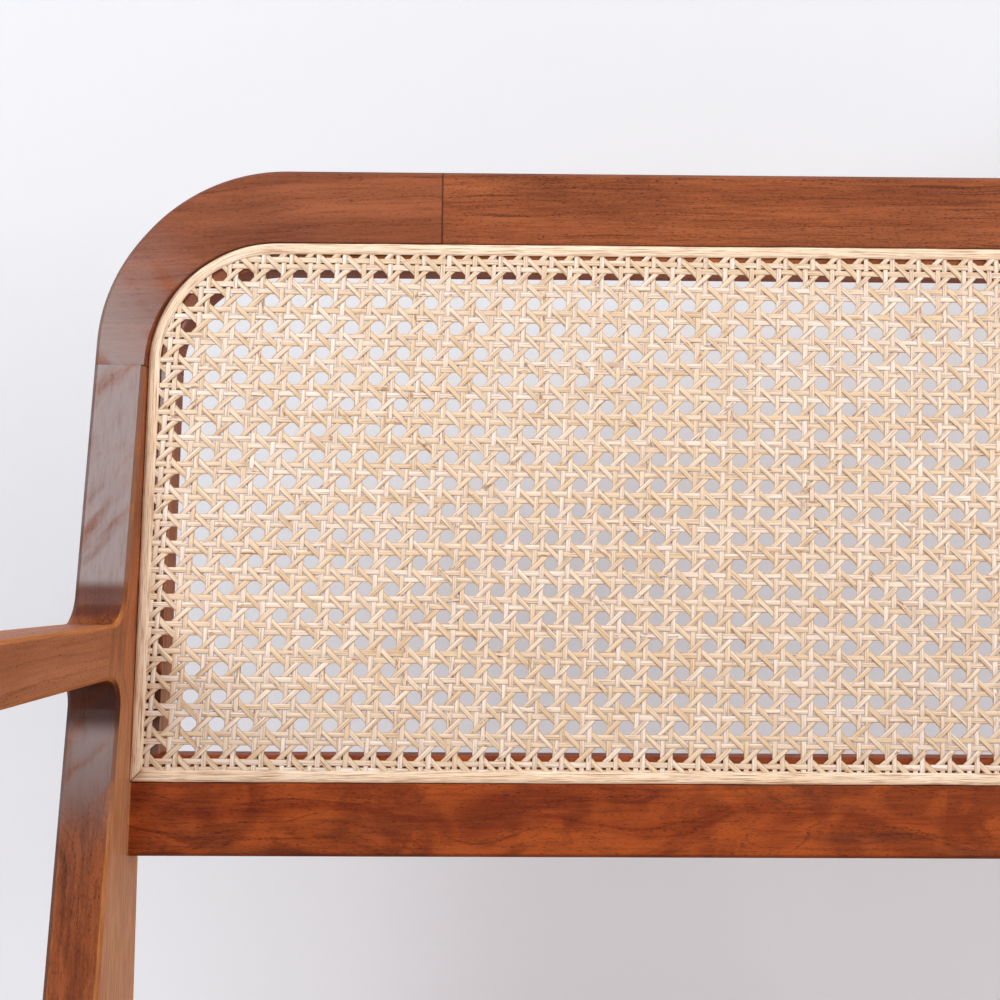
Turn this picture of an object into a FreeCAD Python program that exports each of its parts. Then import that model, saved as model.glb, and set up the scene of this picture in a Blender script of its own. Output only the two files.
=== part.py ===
import FreeCAD, Part
import math
import os
import re

import Sketcher

V = FreeCAD.Vector
doc = FreeCAD.newDocument("planters_chair")

# Driving sizes, in millimetres and degrees. The seat corner is the line where the seat's cane bed
# meets the back's cane bed. Seat sizes run forward from it along the tilted seat, and back sizes run
# up from it along the reclined back.
DRIVING = [
    ("inner_width", 580, "between the inner faces of the posts and of the front legs"),
    ("seat_height", 340, "floor to the seat corner"),
    ("seat_depth", 545, "seat corner to the front face of the front seat rail"),
    ("recline", 20, "angle of the back from upright"),
    ("seat_tilt", 7, "rise of the seat towards its front"),
    ("post_width", 24, "thickness of posts, legs and the rails' outer part"),
    ("frame_thickness", 15, "back frame behind its cane bed"),
    ("post_depth_at_joint", 6.9, "post in front of the cane bed, at the corner block"),
    ("post_depth_at_arm", 17.5, "post in front of the cane bed, at the arm's top"),
    ("slope_reach", 67, "post's joint up to where its sloping face is level with the rails"),
    ("leg_recess", 2.2, "post below the arm behind the line of its front above"),
    ("knee_flare_height", 45, "seat corner up to where the post flares to the side rail"),
    ("knee_flare_radius", 60, "hollow where that flare starts"),
    ("knee_reach", 44, "seat corner to the flat where the side rail meets the post"),
    ("knee_margin", 3, "flat above and below the side rail"),
    ("knee_rear_depth", 22.5, "post behind the cane bed, at seat level"),
    ("knee_rear_fillet", 90, "hollow of the post's rear edge at seat level"),
    ("knee_front_fillet", 12, "easing of the post's front corners at seat level"),
    ("rear_foot_reach", 129, "seat corner back to the rear foot's heel"),
    ("foot_depth", 34, "front to back size of each foot"),
    ("edge_ease", 2.2, "flat on the long outer edges of the wood"),
    ("inner_ease", 1.5, "flat on the edges beside the cane"),
    ("arm_root_height", 214.8, "seat corner up to the arm's top, at the arm's joint"),
    ("arm_thickness", 24.2, "arm, top to underside"),
    ("arm_stub_reach", 33.5, "cane bed forward to the arm's joint"),
    ("arm_drop", 3, "angle of the arm's root below square to the back"),
    ("arm_upper_fillet", 14.5, "hollow between post and arm, above"),
    ("arm_lower_fillet", 12.5, "hollow between post and arm, below"),
    ("back_gap", 109.7, "seat corner up to the lower back rail"),
    ("back_frame_height", 328.1, "lower edge of the lower back rail to the top"),
    ("top_rail_height", 37.1, "face of the top rail"),
    ("lower_rail_height", 33, "face of the lower back rail"),
    ("face_rise", 1.2, "rail faces in front of the cane bed"),
    ("outer_corner_radius", 88, "outside corner of the back"),
    ("inner_corner_radius", 61, "outside of the spline at the corner"),
    ("corner_reach", 140.6, "post's inner face to the top rail's joint"),
    ("corner_drop", 100, "top of the back down to the post's joint"),
    ("groove_width", 5, "groove for the reed spline"),
    ("groove_depth", 5, "groove for the reed spline"),
    ("lip_width", 7.5, "wooden lip under the edge of the cane"),
    ("cane_thickness", 1, "woven cane"),
    ("spline_rise", 1.8, "spline above the cane bed"),
    ("spline_ease", 1.3, "slope each side of the spline's top"),
    ("back_gap_columns", 16, "openings across the back's cane"),
    ("back_gap_rows", 7, "openings up the back's cane"),
    ("seat_gap_columns", 11, "openings across the seat's cane"),
    ("seat_gap_rows", 9, "openings along the seat's cane"),
    ("strand_width", 10, "band of strands between two openings"),
    ("arm_straight", 100, "straight run of the arm from its joint"),
    ("arm_bend_radius", 500, "gentle bend of the arm's top to level"),
    ("arm_front_reach", 646, "seat corner to the arm's front end"),
    ("arm_mid_width", 39, "arm width where it starts to flare"),
    ("arm_mid_reach", 85, "seat corner to where the arm starts to flare"),
    ("arm_width", 84, "arm at its widest"),
    ("arm_wide_reach", 230, "seat corner to where the arm is widest"),
    ("arm_root_fillet", 200, "first bend of the arm's outer side, by its joint"),
    ("arm_side_fillet", 600, "other bends of the arm's outer side"),
    ("arm_outer_corner", 42, "outer corner of the arm's front end"),
    ("arm_inner_corner", 26, "inner corner of the arm's front end"),
    ("rail_depth", 45, "seat rails, top to bottom"),
    ("front_rail_face", 36.5, "front seat rail in front of its groove"),
    ("front_rail_setback", 6, "front seat rail behind the line of the legs' front faces"),
    ("front_foot_inset", 8, "foot behind the front leg's front face"),
    ("leg_front_radius", 2950, "long curve of the front leg's front edge"),
    ("neck_depth", 40, "front leg under the arm"),
    ("leg_flare", 19, "ledge each side of the front leg's neck"),
    ("leg_flare_radius", 14, "hollow under that ledge"),
    ("ledge_height", 5, "thickness of that ledge"),
    ("tenon_thickness", 9, "rail and arm tenons"),
    ("back_tenon_thickness", 6, "tenons of the back frame"),
    ("tenon_length", 14, "tenons, and each half of a loose tenon"),
    ("tenon_shoulder", 6, "shoulder above and below a tenon"),
    ("tenon_clearance", 0.1, "glue gap round a tenon"),
    ("arm_tenon_depth", 30, "loose tenon between front leg and arm"),
    ("block_leg", 40, "seat corner block along each rail"),
    ("block_height", 24, "seat corner block"),
    ("leg_rest_width", 52, "leg rest at its pivot"),
    ("leg_rest_tip_width", 42, "leg rest at its free end"),
    ("leg_rest_thickness", 18, "leg rest"),
    ("leg_rest_length", 390, "pivot to the free end"),
    ("leg_rest_ease", 3, "flat on the leg rest's edges"),
    ("pivot_offset", 54, "arm's inner edge to the pivot"),
    ("pivot_setback", 42, "arm's front end to the pivot"),
    ("bolt_diameter", 10, "pivot bolt"),
    ("bolt_fit", 0.05, "radial clearance of the bolt in the arm and nut"),
    ("running_clearance", 0.08, "radial clearance of the bolt in the leg rest"),
    ("axial_play", 0.2, "above and below the leg rest"),
    ("head_diameter", 22, "bolt head"),
    ("head_height", 3.5, "bolt head"),
    ("head_slope", 2, "slope of the bolt head's rim"),
    ("washer_diameter", 24, "washers"),
    ("washer_thickness", 2, "washers"),
    ("nut_width", 17, "cap nut across its flats"),
    ("nut_height", 7, "cap nut's hexagon"),
    ("cap_diameter", 14, "cap nut's dome"),
    ("cap_height", 6, "cap nut's dome"),
    ("cap_slope", 3, "slope round the dome's end"),
    ("thread_end", 4, "bolt end above the dome's top"),
    ("glide_diameter", 22, "foot glide"),
    ("glide_height", 4, "foot glide"),
    ("overrun", 5, "cuts run past the wood by this"),
]

# Sizes worked out from the driving ones. "n" is forward of the back's cane bed, "up" is along the
# back, "q" is forward along the seat and "rise" is square to the seat, all from the seat corner.
WORKED = [
    ("half_inner", "inner_width / 2"),
    ("outer_x", "half_inner + post_width"),
    ("post_mid_x", "half_inner + post_width / 2"),
    ("spline_x", "half_inner - groove_width"),
    ("lip_x", "spline_x - lip_width"),
    ("bed_corner_radius", "inner_corner_radius - groove_width"),
    ("fold", "recline - seat_tilt"),
    ("back_top", "back_gap + back_frame_height"),
    ("panel_low", "back_gap + lower_rail_height"),
    ("panel_high", "back_top - top_rail_height"),
    ("bed_low", "panel_low + groove_width"),
    ("bed_high", "panel_high - groove_width"),
    ("lip_low", "bed_low + lip_width"),
    ("lip_high", "bed_high - lip_width"),
    ("post_joint", "back_top - corner_drop"),
    ("rail_joint_x", "half_inner - corner_reach"),
    ("post_slope", "(post_depth_at_arm - post_depth_at_joint) / (post_joint - arm_root_height)"),
    ("face_break", "post_joint + slope_reach"),
    ("drop_slope", "tan(arm_drop)"),
    ("root_low", "arm_root_height - arm_thickness / cos(arm_drop)"),
    ("slope_product", "post_slope * drop_slope"),
    ("upper_n", "(post_depth_at_arm - slope_product * arm_stub_reach) / (1 - slope_product)"),
    ("upper_up", "arm_root_height + (arm_stub_reach - upper_n) * drop_slope"),
    ("hollow_gain", "(arm_root_height - root_low) * post_slope - leg_recess"),
    ("lower_n", "upper_n + hollow_gain / (1 - slope_product)"),
    ("lower_up", "root_low + (arm_stub_reach - lower_n) * drop_slope"),
    ("flare_n", "post_depth_at_arm - leg_recess + (arm_root_height - knee_flare_height) * post_slope"),
    ("knee_high_n", "knee_reach * cos(fold) + knee_margin * sin(fold)"),
    ("knee_high_up", "knee_margin * cos(fold) - knee_reach * sin(fold)"),
    ("knee_low_rise", "-rail_depth - knee_margin"),
    ("knee_low_n", "knee_reach * cos(fold) + knee_low_rise * sin(fold)"),
    ("knee_low_up", "knee_low_rise * cos(fold) - knee_reach * sin(fold)"),
    ("floor_drop", "seat_height - glide_height"),
    ("toe_reach", "rear_foot_reach - foot_depth"),
    ("heel_back", "rear_foot_reach * cos(recline) + floor_drop * sin(recline)"),
    ("heel_up", "rear_foot_reach * sin(recline) - floor_drop * cos(recline)"),
    ("toe_back", "toe_reach * cos(recline) + floor_drop * sin(recline)"),
    ("toe_up", "toe_reach * sin(recline) - floor_drop * cos(recline)"),
    ("arm_rise", "recline - arm_drop"),
    ("root_top_y", "arm_root_height * sin(recline) - arm_stub_reach * cos(recline)"),
    ("root_top_z", "arm_root_height * cos(recline) + arm_stub_reach * sin(recline)"),
    ("root_low_y", "root_low * sin(recline) - arm_stub_reach * cos(recline)"),
    ("root_low_z", "root_low * cos(recline) + arm_stub_reach * sin(recline)"),
    ("bend_run", "arm_straight + arm_bend_radius * tan(arm_rise / 2)"),
    ("bend_y", "root_top_y - bend_run * cos(arm_rise)"),
    ("arm_top", "root_top_z + bend_run * sin(arm_rise)"),
    ("arm_under", "arm_top - arm_thickness"),
    ("bend_low_y", "bend_y - arm_thickness * tan(arm_rise / 2)"),
    ("arm_outer_x", "half_inner + arm_width"),
    ("rear_groove_q", "knee_reach - lip_width - groove_width"),
    ("rear_bed_q", "knee_reach - lip_width"),
    ("front_groove_q", "seat_depth - front_rail_face"),
    ("front_bed_q", "front_groove_q - groove_width"),
    ("leg_rear_q", "front_bed_q - lip_width"),
    ("leg_front_q", "seat_depth + front_rail_setback"),
    ("front_toe_q", "leg_front_q - front_foot_inset"),
    ("front_heel_q", "front_toe_q - foot_depth"),
    ("neck_front_q", "leg_rear_q + neck_depth"),
    ("ledge_rear_q", "leg_rear_q - leg_flare"),
    ("ledge_front_q", "neck_front_q + leg_flare"),
    ("neck_mid_q", "leg_rear_q + neck_depth / 2"),
    ("neck_top", "(arm_under - neck_mid_q * sin(seat_tilt)) / cos(seat_tilt)"),
    ("front_foot_q", "(front_toe_q + front_heel_q) / 2"),
    ("foot_level", "(-floor_drop - front_foot_q * sin(seat_tilt)) / cos(seat_tilt)"),
    ("front_foot_y", "foot_level * sin(seat_tilt) - front_foot_q * cos(seat_tilt)"),
    ("pivot_x", "half_inner + pivot_offset"),
    ("pivot_y", "pivot_setback - arm_front_reach"),
    ("spacer_low", "arm_under - washer_thickness"),
    ("leg_rest_top", "spacer_low - axial_play"),
    ("leg_rest_low", "leg_rest_top - leg_rest_thickness"),
    ("lower_washer_low", "leg_rest_low - axial_play - washer_thickness"),
    ("nut_low", "lower_washer_low - nut_height"),
    ("cap_low", "nut_low - cap_height"),
    ("bolt_low", "cap_low + thread_end"),
    ("rear_reach", "(back_top - edge_ease) * sin(recline) + frame_thickness * cos(recline)"),
    ("corner_y", "(arm_front_reach - rear_reach) / 2"),
]


def make_sheet():
    sheet = doc.addObject("Spreadsheet::Sheet", "Sizes")
    row = 1
    for name, size, note in DRIVING:
        sheet.set("A%d" % row, name)
        sheet.set("B%d" % row, str(size))
        sheet.set("C%d" % row, note)
        sheet.setAlias("B%d" % row, name)
        row += 1
    for name, formula in WORKED:
        sheet.set("A%d" % row, name)
        sheet.set("B%d" % row, "=" + formula)
        sheet.setAlias("B%d" % row, name)
        row += 1
    doc.recompute()
    return sheet


sheet = make_sheet()
NAMES = {entry[0] for entry in DRIVING + WORKED}
HALF_TURN = 180
NUT_SIDES = 6
OPENING_SIDES = 8
NEAR = 1e-3


def bound(formula):
    """The formula with each size's name pointing at its cell in the sheet."""
    def cell(match):
        word = match.group(0)
        return "Sizes." + word if word in NAMES else word
    return re.sub(r"[A-Za-z_]+", cell, formula)


def size(formula):
    return float(sheet.evalExpression(bound(formula)))


def bind(thing, field, formula):
    thing.setExpression(field, bound(formula))


def place(thing, x="0", y="0", z="0"):
    """Keeps the thing at x, y, z from the seat corner."""
    bind(thing, "Placement.Base.x", x)
    bind(thing, "Placement.Base.y", "corner_y + (%s)" % y)
    bind(thing, "Placement.Base.z", "seat_height + (%s)" % z)


def new_body(name, tilt="0"):
    """A body whose origin is the seat corner, leaning back by the tilt."""
    body = doc.addObject("PartDesign::Body", name)
    body.Label = name
    body.Placement = FreeCAD.Placement(V(), FreeCAD.Rotation(V(-1, 0, 0), 1))
    bind(body, "Placement.Rotation.Angle", "(%s) * 1 deg" % tilt)
    place(body)
    return body


def arc_between(start, end, radius, centre_left):
    """The short arc from start to end, with its centre to the left or the right of the way there."""
    chord = end - start
    across = V(-chord.y, chord.x, 0).normalize()
    reach = math.sqrt(radius ** 2 - (chord.Length / 2) ** 2)
    centre = (start + end) / 2 + across * (reach if centre_left else -reach)
    first, last = (start, end) if centre_left else (end, start)
    angles = [math.atan2(p.y - centre.y, p.x - centre.x) for p in (first, last)]
    return Part.ArcOfCircle(Part.Circle(centre, V(0, 0, 1), radius), *angles)


def new_sketch(body, name, role, corners, offset="0"):
    """A closed outline on one of the body's planes, each corner held by the sheet.

    A corner is two formulas. One that starts an arc has two more items: the arc's radius, and
    whether its centre lies to the left of the way round.
    """
    sketch = body.newObject("Sketcher::SketchObject", name)
    plane = [f for f in body.Origin.OriginFeatures if f.Role == role][0]
    sketch.AttachmentSupport = [(plane, "")]
    sketch.MapMode = "FlatFace"
    bind(sketch, "AttachmentOffset.Base.z", offset)
    spots = [V(size(corner[0]), size(corner[1]), 0) for corner in corners]
    count = len(spots)
    ends = []
    for i, corner in enumerate(corners):
        start, end = spots[i], spots[(i + 1) % count]
        if len(corner) == 2:
            sketch.addGeometry(Part.LineSegment(start, end))
            ends.append((1, 2))
        else:
            sketch.addGeometry(arc_between(start, end, size(corner[2]), corner[3]))
            ends.append((1, 2) if corner[3] else (2, 1))
    for i in range(count):
        after = (i + 1) % count
        rule = Sketcher.Constraint("Coincident", i, ends[i][1], after, ends[after][0])
        sketch.addConstraint(rule)
    for i, corner in enumerate(corners):
        for kind, formula in zip(("DistanceX", "DistanceY"), corner):
            rule = Sketcher.Constraint(kind, -1, 1, i, ends[i][0], size(formula))
            bind(sketch, "Constraints[%d]" % sketch.addConstraint(rule), formula)
        if len(corner) > 2:
            number = sketch.addConstraint(Sketcher.Constraint("Radius", i, size(corner[2])))
            bind(sketch, "Constraints[%d]" % number, corner[2])
    return sketch


def pad(body, name, role, corners, length, offset="0"):
    sketch = new_sketch(body, name + "_outline", role, corners, offset)
    feature = body.newObject("PartDesign::Pad", name)
    feature.Profile = sketch
    bind(feature, "Length", length)
    doc.recompute()
    return feature


def pocket(body, name, role, corners, length, offset="0"):
    """Cuts along the sketch plane's normal, from the offset plane."""
    volume = body.Shape.Volume
    sketch = new_sketch(body, name + "_outline", role, corners, offset)
    feature = body.newObject("PartDesign::Pocket", name)
    feature.Profile = sketch
    feature.Reversed = True
    bind(feature, "Length", length)
    doc.recompute()
    if body.Shape.Volume >= volume:
        raise RuntimeError(name + " cuts nothing")
    return feature


def block(body, kind, name, across, along, up, turn=None):
    """Adds or cuts a box in the body, given its low and high formulas on each axis, turned about X."""
    feature = body.newObject("PartDesign::%sBox" % kind, name)
    for field, (low, high) in (("Length", across), ("Width", along), ("Height", up)):
        bind(feature, field, "(%s) - (%s)" % (high, low))
    bind(feature, "Placement.Base.x", across[0])
    if turn is None:
        bind(feature, "Placement.Base.y", along[0])
        bind(feature, "Placement.Base.z", up[0])
    else:
        feature.Placement = FreeCAD.Placement(V(), FreeCAD.Rotation(V(1, 0, 0), 1))
        bind(feature, "Placement.Rotation.Angle", "(%s) * 1 deg" % turn)
        y, z = along[0], up[0]
        bind(feature, "Placement.Base.y", "(%s) * cos(%s) - (%s) * sin(%s)" % (y, turn, z, turn))
        bind(feature, "Placement.Base.z", "(%s) * sin(%s) + (%s) * cos(%s)" % (y, turn, z, turn))
    doc.recompute()
    return feature


def mortise(body, name, across, along, up, turn=None):
    """Cuts the slot for a tenon: the tenon's own box, with the glue gap all round."""
    slack = [("(%s) - tenon_clearance" % low, "(%s) + tenon_clearance" % high)
             for low, high in (across, along, up)]
    volume = body.Shape.Volume
    feature = block(body, "Subtractive", name, *slack, turn)
    if body.Shape.Volume >= volume:
        raise RuntimeError(name + " cuts nothing")
    return feature


def samples(edge):
    """Points along an edge: its ends and three between them."""
    first, last = edge.ParameterRange
    return [edge.valueAt(first + (last - first) * i / 4) for i in range(5)]


def edge_numbers(shape, wanted, unwanted=()):
    """Numbers of the edges with all their points in the wanted place and not all in an unwanted one."""
    numbers = []
    for i, edge in enumerate(shape.Edges):
        points = samples(edge)
        if not all(wanted(p) for p in points):
            continue
        if any(all(test(p) for p in points) for test in unwanted):
            continue
        numbers.append(i + 1)
    return numbers


def close(a, b):
    return abs(a - b) < NEAR


def before(formula):
    """Points in front of a level on Y."""
    level = size(formula)
    return lambda p: p.y < level + NEAR


def behind(formula):
    """Points behind a level on Y."""
    level = size(formula)
    return lambda p: p.y > level - NEAR


def under(formula):
    """Points below a level on Z."""
    level = size(formula)
    return lambda p: p.z < level + NEAR


def at_x(formula):
    level = size(formula)
    return lambda p: close(p.x, level)


def at_y(formula):
    level = size(formula)
    return lambda p: close(p.y, level)


def at_z(formula):
    level = size(formula)
    return lambda p: close(p.z, level)


def both(one, other):
    return lambda p: one(p) and other(p)


def either(*tests):
    return lambda p: any(test(p) for test in tests)


def on_level(height, tilt):
    """Points on the level plane at a height above the seat corner, in a body that leans by the tilt."""
    level, angle = size(height), math.radians(size(tilt))
    return lambda p: close(p.z * math.cos(angle) - p.y * math.sin(angle), level)


def dress(body, kind, field, name, amount, wanted, unwanted):
    """Works the edges of the body's last shape that lie in the wanted place."""
    base = body.Tip
    names = ["Edge%d" % number for number in edge_numbers(base.Shape, wanted, unwanted)]
    if not names:
        raise RuntimeError(name + " finds no edge")
    feature = body.newObject("PartDesign::" + kind, name)
    feature.Base = (base, names)
    bind(feature, field, amount)
    doc.recompute()
    if "Invalid" in feature.State:
        raise RuntimeError("%s can't work %s" % (name, names))
    return feature


def fillet(body, name, radius, wanted, unwanted=()):
    return dress(body, "Fillet", "Radius", name, radius, wanted, unwanted)


def chamfer(body, name, width, wanted, unwanted=()):
    return dress(body, "Chamfer", "Size", name, width, wanted, unwanted)


def corner_fillet(body, name, radius, axis, across, up):
    """Rounds the corner edge that runs along the axis through a place on the other two axes."""
    first, second = {"x": (at_y, at_z), "y": (at_x, at_z), "z": (at_x, at_y)}[axis]
    return fillet(body, name, radius, both(first(across), second(up)))


def mirrored(source, name):
    """The right-hand twin of a left-hand piece."""
    twin = doc.addObject("Part::Mirroring", name)
    twin.Label = name
    twin.Source = source
    twin.Normal = V(1, 0, 0)
    return twin


# Where the tenons lie. Each is a low and a high formula on X, Y and Z, in the frame of the rail.
RAIL_TENON_UP = ("tenon_shoulder - rail_depth", "-tenon_shoulder")
POST_TENON_X = ("-post_mid_x - tenon_thickness / 2", "-post_mid_x + tenon_thickness / 2")
INTO_POST_X = ("-half_inner - tenon_length", "-half_inner")
BACK_TENON_Y = ("frame_thickness / 2 - back_tenon_thickness / 2",
                "frame_thickness / 2 + back_tenon_thickness / 2")
LOWER_RAIL_TENON_UP = ("back_gap + tenon_shoulder", "panel_low - tenon_shoulder")
REAR_RAIL_TENON_Y = ("-rear_groove_q / 2 - tenon_thickness / 2",
                     "-rear_groove_q / 2 + tenon_thickness / 2")
FRONT_RAIL_TENON_Y = ("-seat_depth + front_rail_face / 2 - tenon_thickness / 2",
                      "-seat_depth + front_rail_face / 2 + tenon_thickness / 2")
SIDE_REAR_TENON_Y = ("-knee_reach", "tenon_length - knee_reach")
SIDE_FRONT_TENON_Y = ("-leg_rear_q - tenon_length", "-leg_rear_q")
POST_LOOSE_TENON = (("-outer_x + tenon_shoulder", "-half_inner - tenon_shoulder"), BACK_TENON_Y,
                    ("post_joint - tenon_length", "post_joint + tenon_length"))
RAIL_LOOSE_TENON = (("-rail_joint_x - tenon_length", "-rail_joint_x + tenon_length"), BACK_TENON_Y,
                    ("panel_high + tenon_shoulder", "back_top - tenon_shoulder"))
ARM_LOOSE_TENON = (POST_TENON_X,
                   ("-arm_stub_reach - tenon_length", "-arm_stub_reach + tenon_length"),
                   ("root_low + tenon_shoulder", "arm_root_height - tenon_shoulder"))
LEG_LOOSE_TENON = (POST_TENON_X,
                   ("-neck_mid_q - arm_tenon_depth / 2", "-neck_mid_q + arm_tenon_depth / 2"),
                   ("neck_top - tenon_length", "neck_top + tenon_length"))


def make_rear_post():
    """Back post, arm stub and rear leg in one board, with the cane's lip on its inner side."""
    body = new_body("rear_post_left", "recline")
    outline = [
        ("frame_thickness", "post_joint"),
        ("frame_thickness", "lip_low"),
        ("knee_rear_depth", "-rail_depth / 2"),
        ("heel_back", "heel_up"),
        ("toe_back", "toe_up"),
        ("-knee_low_n", "knee_low_up"),
        ("-knee_high_n", "knee_high_up"),
        ("-flare_n", "knee_flare_height"),
        ("-lower_n", "lower_up"),
        ("-arm_stub_reach", "root_low"),
        ("-arm_stub_reach", "arm_root_height"),
        ("-upper_n", "upper_up"),
        ("-post_depth_at_joint", "post_joint"),
    ]
    pad(body, "board", "YZ_Plane", outline, "post_width", "-outer_x")
    corner_fillet(body, "arm_hollow_above", "arm_upper_fillet", "x", "-upper_n", "upper_up")
    corner_fillet(body, "arm_hollow_below", "arm_lower_fillet", "x", "-lower_n", "lower_up")
    corner_fillet(body, "knee_hollow", "knee_rear_fillet", "x", "knee_rear_depth", "-rail_depth / 2")
    corner_fillet(body, "knee_flare", "knee_flare_radius", "x", "-flare_n", "knee_flare_height")
    corner_fillet(body, "knee_ease_above", "knee_front_fillet", "x", "-knee_high_n", "knee_high_up")
    corner_fillet(body, "knee_ease_below", "knee_front_fillet", "x", "-knee_low_n", "knee_low_up")
    section = [
        ("-half_inner", "frame_thickness"),
        ("-half_inner", "groove_depth"),
        ("-spline_x", "groove_depth"),
        ("-spline_x", "0"),
        ("-lip_x", "0"),
        ("-lip_x", "frame_thickness"),
    ]
    pad(body, "lip", "XY_Plane", section, "post_joint - lip_low", "lip_low")
    ends = [at_z("post_joint"), at_y("-arm_stub_reach"), on_level("-floor_drop", "recline")]
    chamfer(body, "outer_edges", "edge_ease", at_x("-outer_x"), ends)
    inner = at_x("-half_inner")
    below_seat = under("knee_low_up")
    front = either(before("-face_rise"), below_seat)
    chamfer(body, "inner_front_edges", "inner_ease", both(inner, front), ends)
    below_lip = both(behind("frame_thickness"), under("lip_low"))
    chamfer(body, "inner_rear_edges", "inner_ease", both(inner, below_lip), ends + [at_z("lip_low")])
    mortise(body, "arm_mortise", *ARM_LOOSE_TENON)
    mortise(body, "corner_mortise", *POST_LOOSE_TENON)
    mortise(body, "lower_rail_mortise", INTO_POST_X, BACK_TENON_Y, LOWER_RAIL_TENON_UP)
    mortise(body, "rear_rail_mortise", INTO_POST_X, REAR_RAIL_TENON_Y, RAIL_TENON_UP, "fold")
    mortise(body, "side_rail_mortise", POST_TENON_X, SIDE_REAR_TENON_Y, RAIL_TENON_UP, "fold")
    return body


def corner_strip(outer, inner):
    """A strip from the post's joint round the corner to the top rail's joint.

    Each side is its place on X, its height up the back and its radius at the corner.
    """
    out_x, out_up, out_radius = outer
    in_x, in_up, in_radius = inner
    return [
        (out_x, "post_joint"),
        (out_x, "%s - (%s)" % (out_up, out_radius), out_radius, False),
        ("%s + (%s)" % (out_x, out_radius), out_up),
        ("-rail_joint_x", out_up),
        ("-rail_joint_x", in_up),
        ("%s + (%s)" % (in_x, in_radius), in_up, in_radius, True),
        (in_x, "%s - (%s)" % (in_up, in_radius)),
        (in_x, "post_joint"),
    ]


def make_corner_block():
    """Curved block between the post and the top rail, with the groove and lip round its hollow."""
    body = new_body("corner_block_left", "recline")
    outside = ("-outer_x", "back_top", "outer_corner_radius")
    wall = ("-half_inner", "panel_high", "inner_corner_radius")
    bed = ("-spline_x", "bed_high", "bed_corner_radius")
    lip = ("-lip_x", "lip_high", "bed_corner_radius - lip_width")
    pad(body, "block", "XZ_Plane", corner_strip(outside, lip), "frame_thickness",
        "-frame_thickness")
    pad(body, "face", "XZ_Plane", corner_strip(outside, wall), "post_depth_at_joint")
    pocket(body, "groove", "XZ_Plane", corner_strip(wall, bed), "groove_depth", "-groove_depth")
    front = [
        ("-face_rise", "back_top + overrun"),
        ("-face_rise", "face_break"),
        ("-post_depth_at_joint", "post_joint"),
        ("-post_depth_at_joint - overrun", "post_joint"),
        ("-post_depth_at_joint - overrun", "back_top + overrun"),
    ]
    pocket(body, "front_slope", "YZ_Plane", front, "outer_x", "-outer_x")
    ends = [at_z("post_joint"), at_x("-rail_joint_x")]
    chamfer(body, "outer_rear_edge", "edge_ease", both(at_y("frame_thickness"), outer_strip), ends)
    upper = at_y("-face_rise")
    chamfer(body, "lower_front_edge", "edge_ease", both(before("-face_rise"), outer_strip),
            ends + [upper])
    if edge_numbers(body.Shape, both(upper, outer_strip), ends):
        chamfer(body, "upper_front_edge", "edge_ease", both(upper, outer_strip), ends)
    mortise(body, "post_mortise", *POST_LOOSE_TENON)
    mortise(body, "rail_mortise", *RAIL_LOOSE_TENON)
    return body


def outer_strip(p):
    """Points on the outside face of the corner."""
    radius = size("outer_corner_radius")
    across = p.x + size("outer_x") - radius
    up = p.z - size("back_top") + radius
    if across < 0 and up > 0:
        return close(math.hypot(across, up), radius)
    return close(across, -radius) or close(up, radius)


def make_top_rail():
    body = new_body("top_rail", "recline")
    section = [
        ("frame_thickness", "lip_high"),
        ("frame_thickness", "back_top"),
        ("-face_rise", "back_top"),
        ("-face_rise", "panel_high"),
        ("groove_depth", "panel_high"),
        ("groove_depth", "bed_high"),
        ("0", "bed_high"),
        ("0", "lip_high"),
    ]
    pad(body, "rail", "YZ_Plane", section, "2 * rail_joint_x", "-rail_joint_x")
    ends = [at_x("rail_joint_x"), at_x("-rail_joint_x")]
    chamfer(body, "top_edges", "edge_ease", at_z("back_top"), ends)
    (low_x, high_x), along, up = RAIL_LOOSE_TENON
    mortise(body, "left_mortise", (low_x, high_x), along, up)
    mortise(body, "right_mortise", ("-(%s)" % high_x, "-(%s)" % low_x), along, up)
    return body


def end_tenons(body, along, up):
    """A tenon on each end of a cross rail."""
    low, high = INTO_POST_X
    block(body, "Additive", "left_tenon", (low, high), along, up)
    block(body, "Additive", "right_tenon", ("-(%s)" % high, "-(%s)" % low), along, up)


def end_grooves(body, along, up):
    """Carries the side grooves across a cross rail's lip."""
    block(body, "Subtractive", "left_groove", ("-half_inner", "-spline_x"), along, up)
    block(body, "Subtractive", "right_groove", ("spline_x", "half_inner"), along, up)


def make_lower_back_rail():
    body = new_body("lower_back_rail", "recline")
    section = [
        ("frame_thickness", "back_gap"),
        ("frame_thickness", "lip_low"),
        ("0", "lip_low"),
        ("0", "bed_low"),
        ("groove_depth", "bed_low"),
        ("groove_depth", "panel_low"),
        ("-face_rise", "panel_low"),
        ("-face_rise", "back_gap"),
    ]
    pad(body, "rail", "YZ_Plane", section, "inner_width", "-half_inner")
    ends = [at_x("half_inner"), at_x("-half_inner")]
    chamfer(body, "lower_edges", "inner_ease", at_z("back_gap"), ends)
    end_grooves(body, ("0", "groove_depth"), ("bed_low", "lip_low"))
    end_tenons(body, BACK_TENON_Y, LOWER_RAIL_TENON_UP)
    return body


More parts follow.
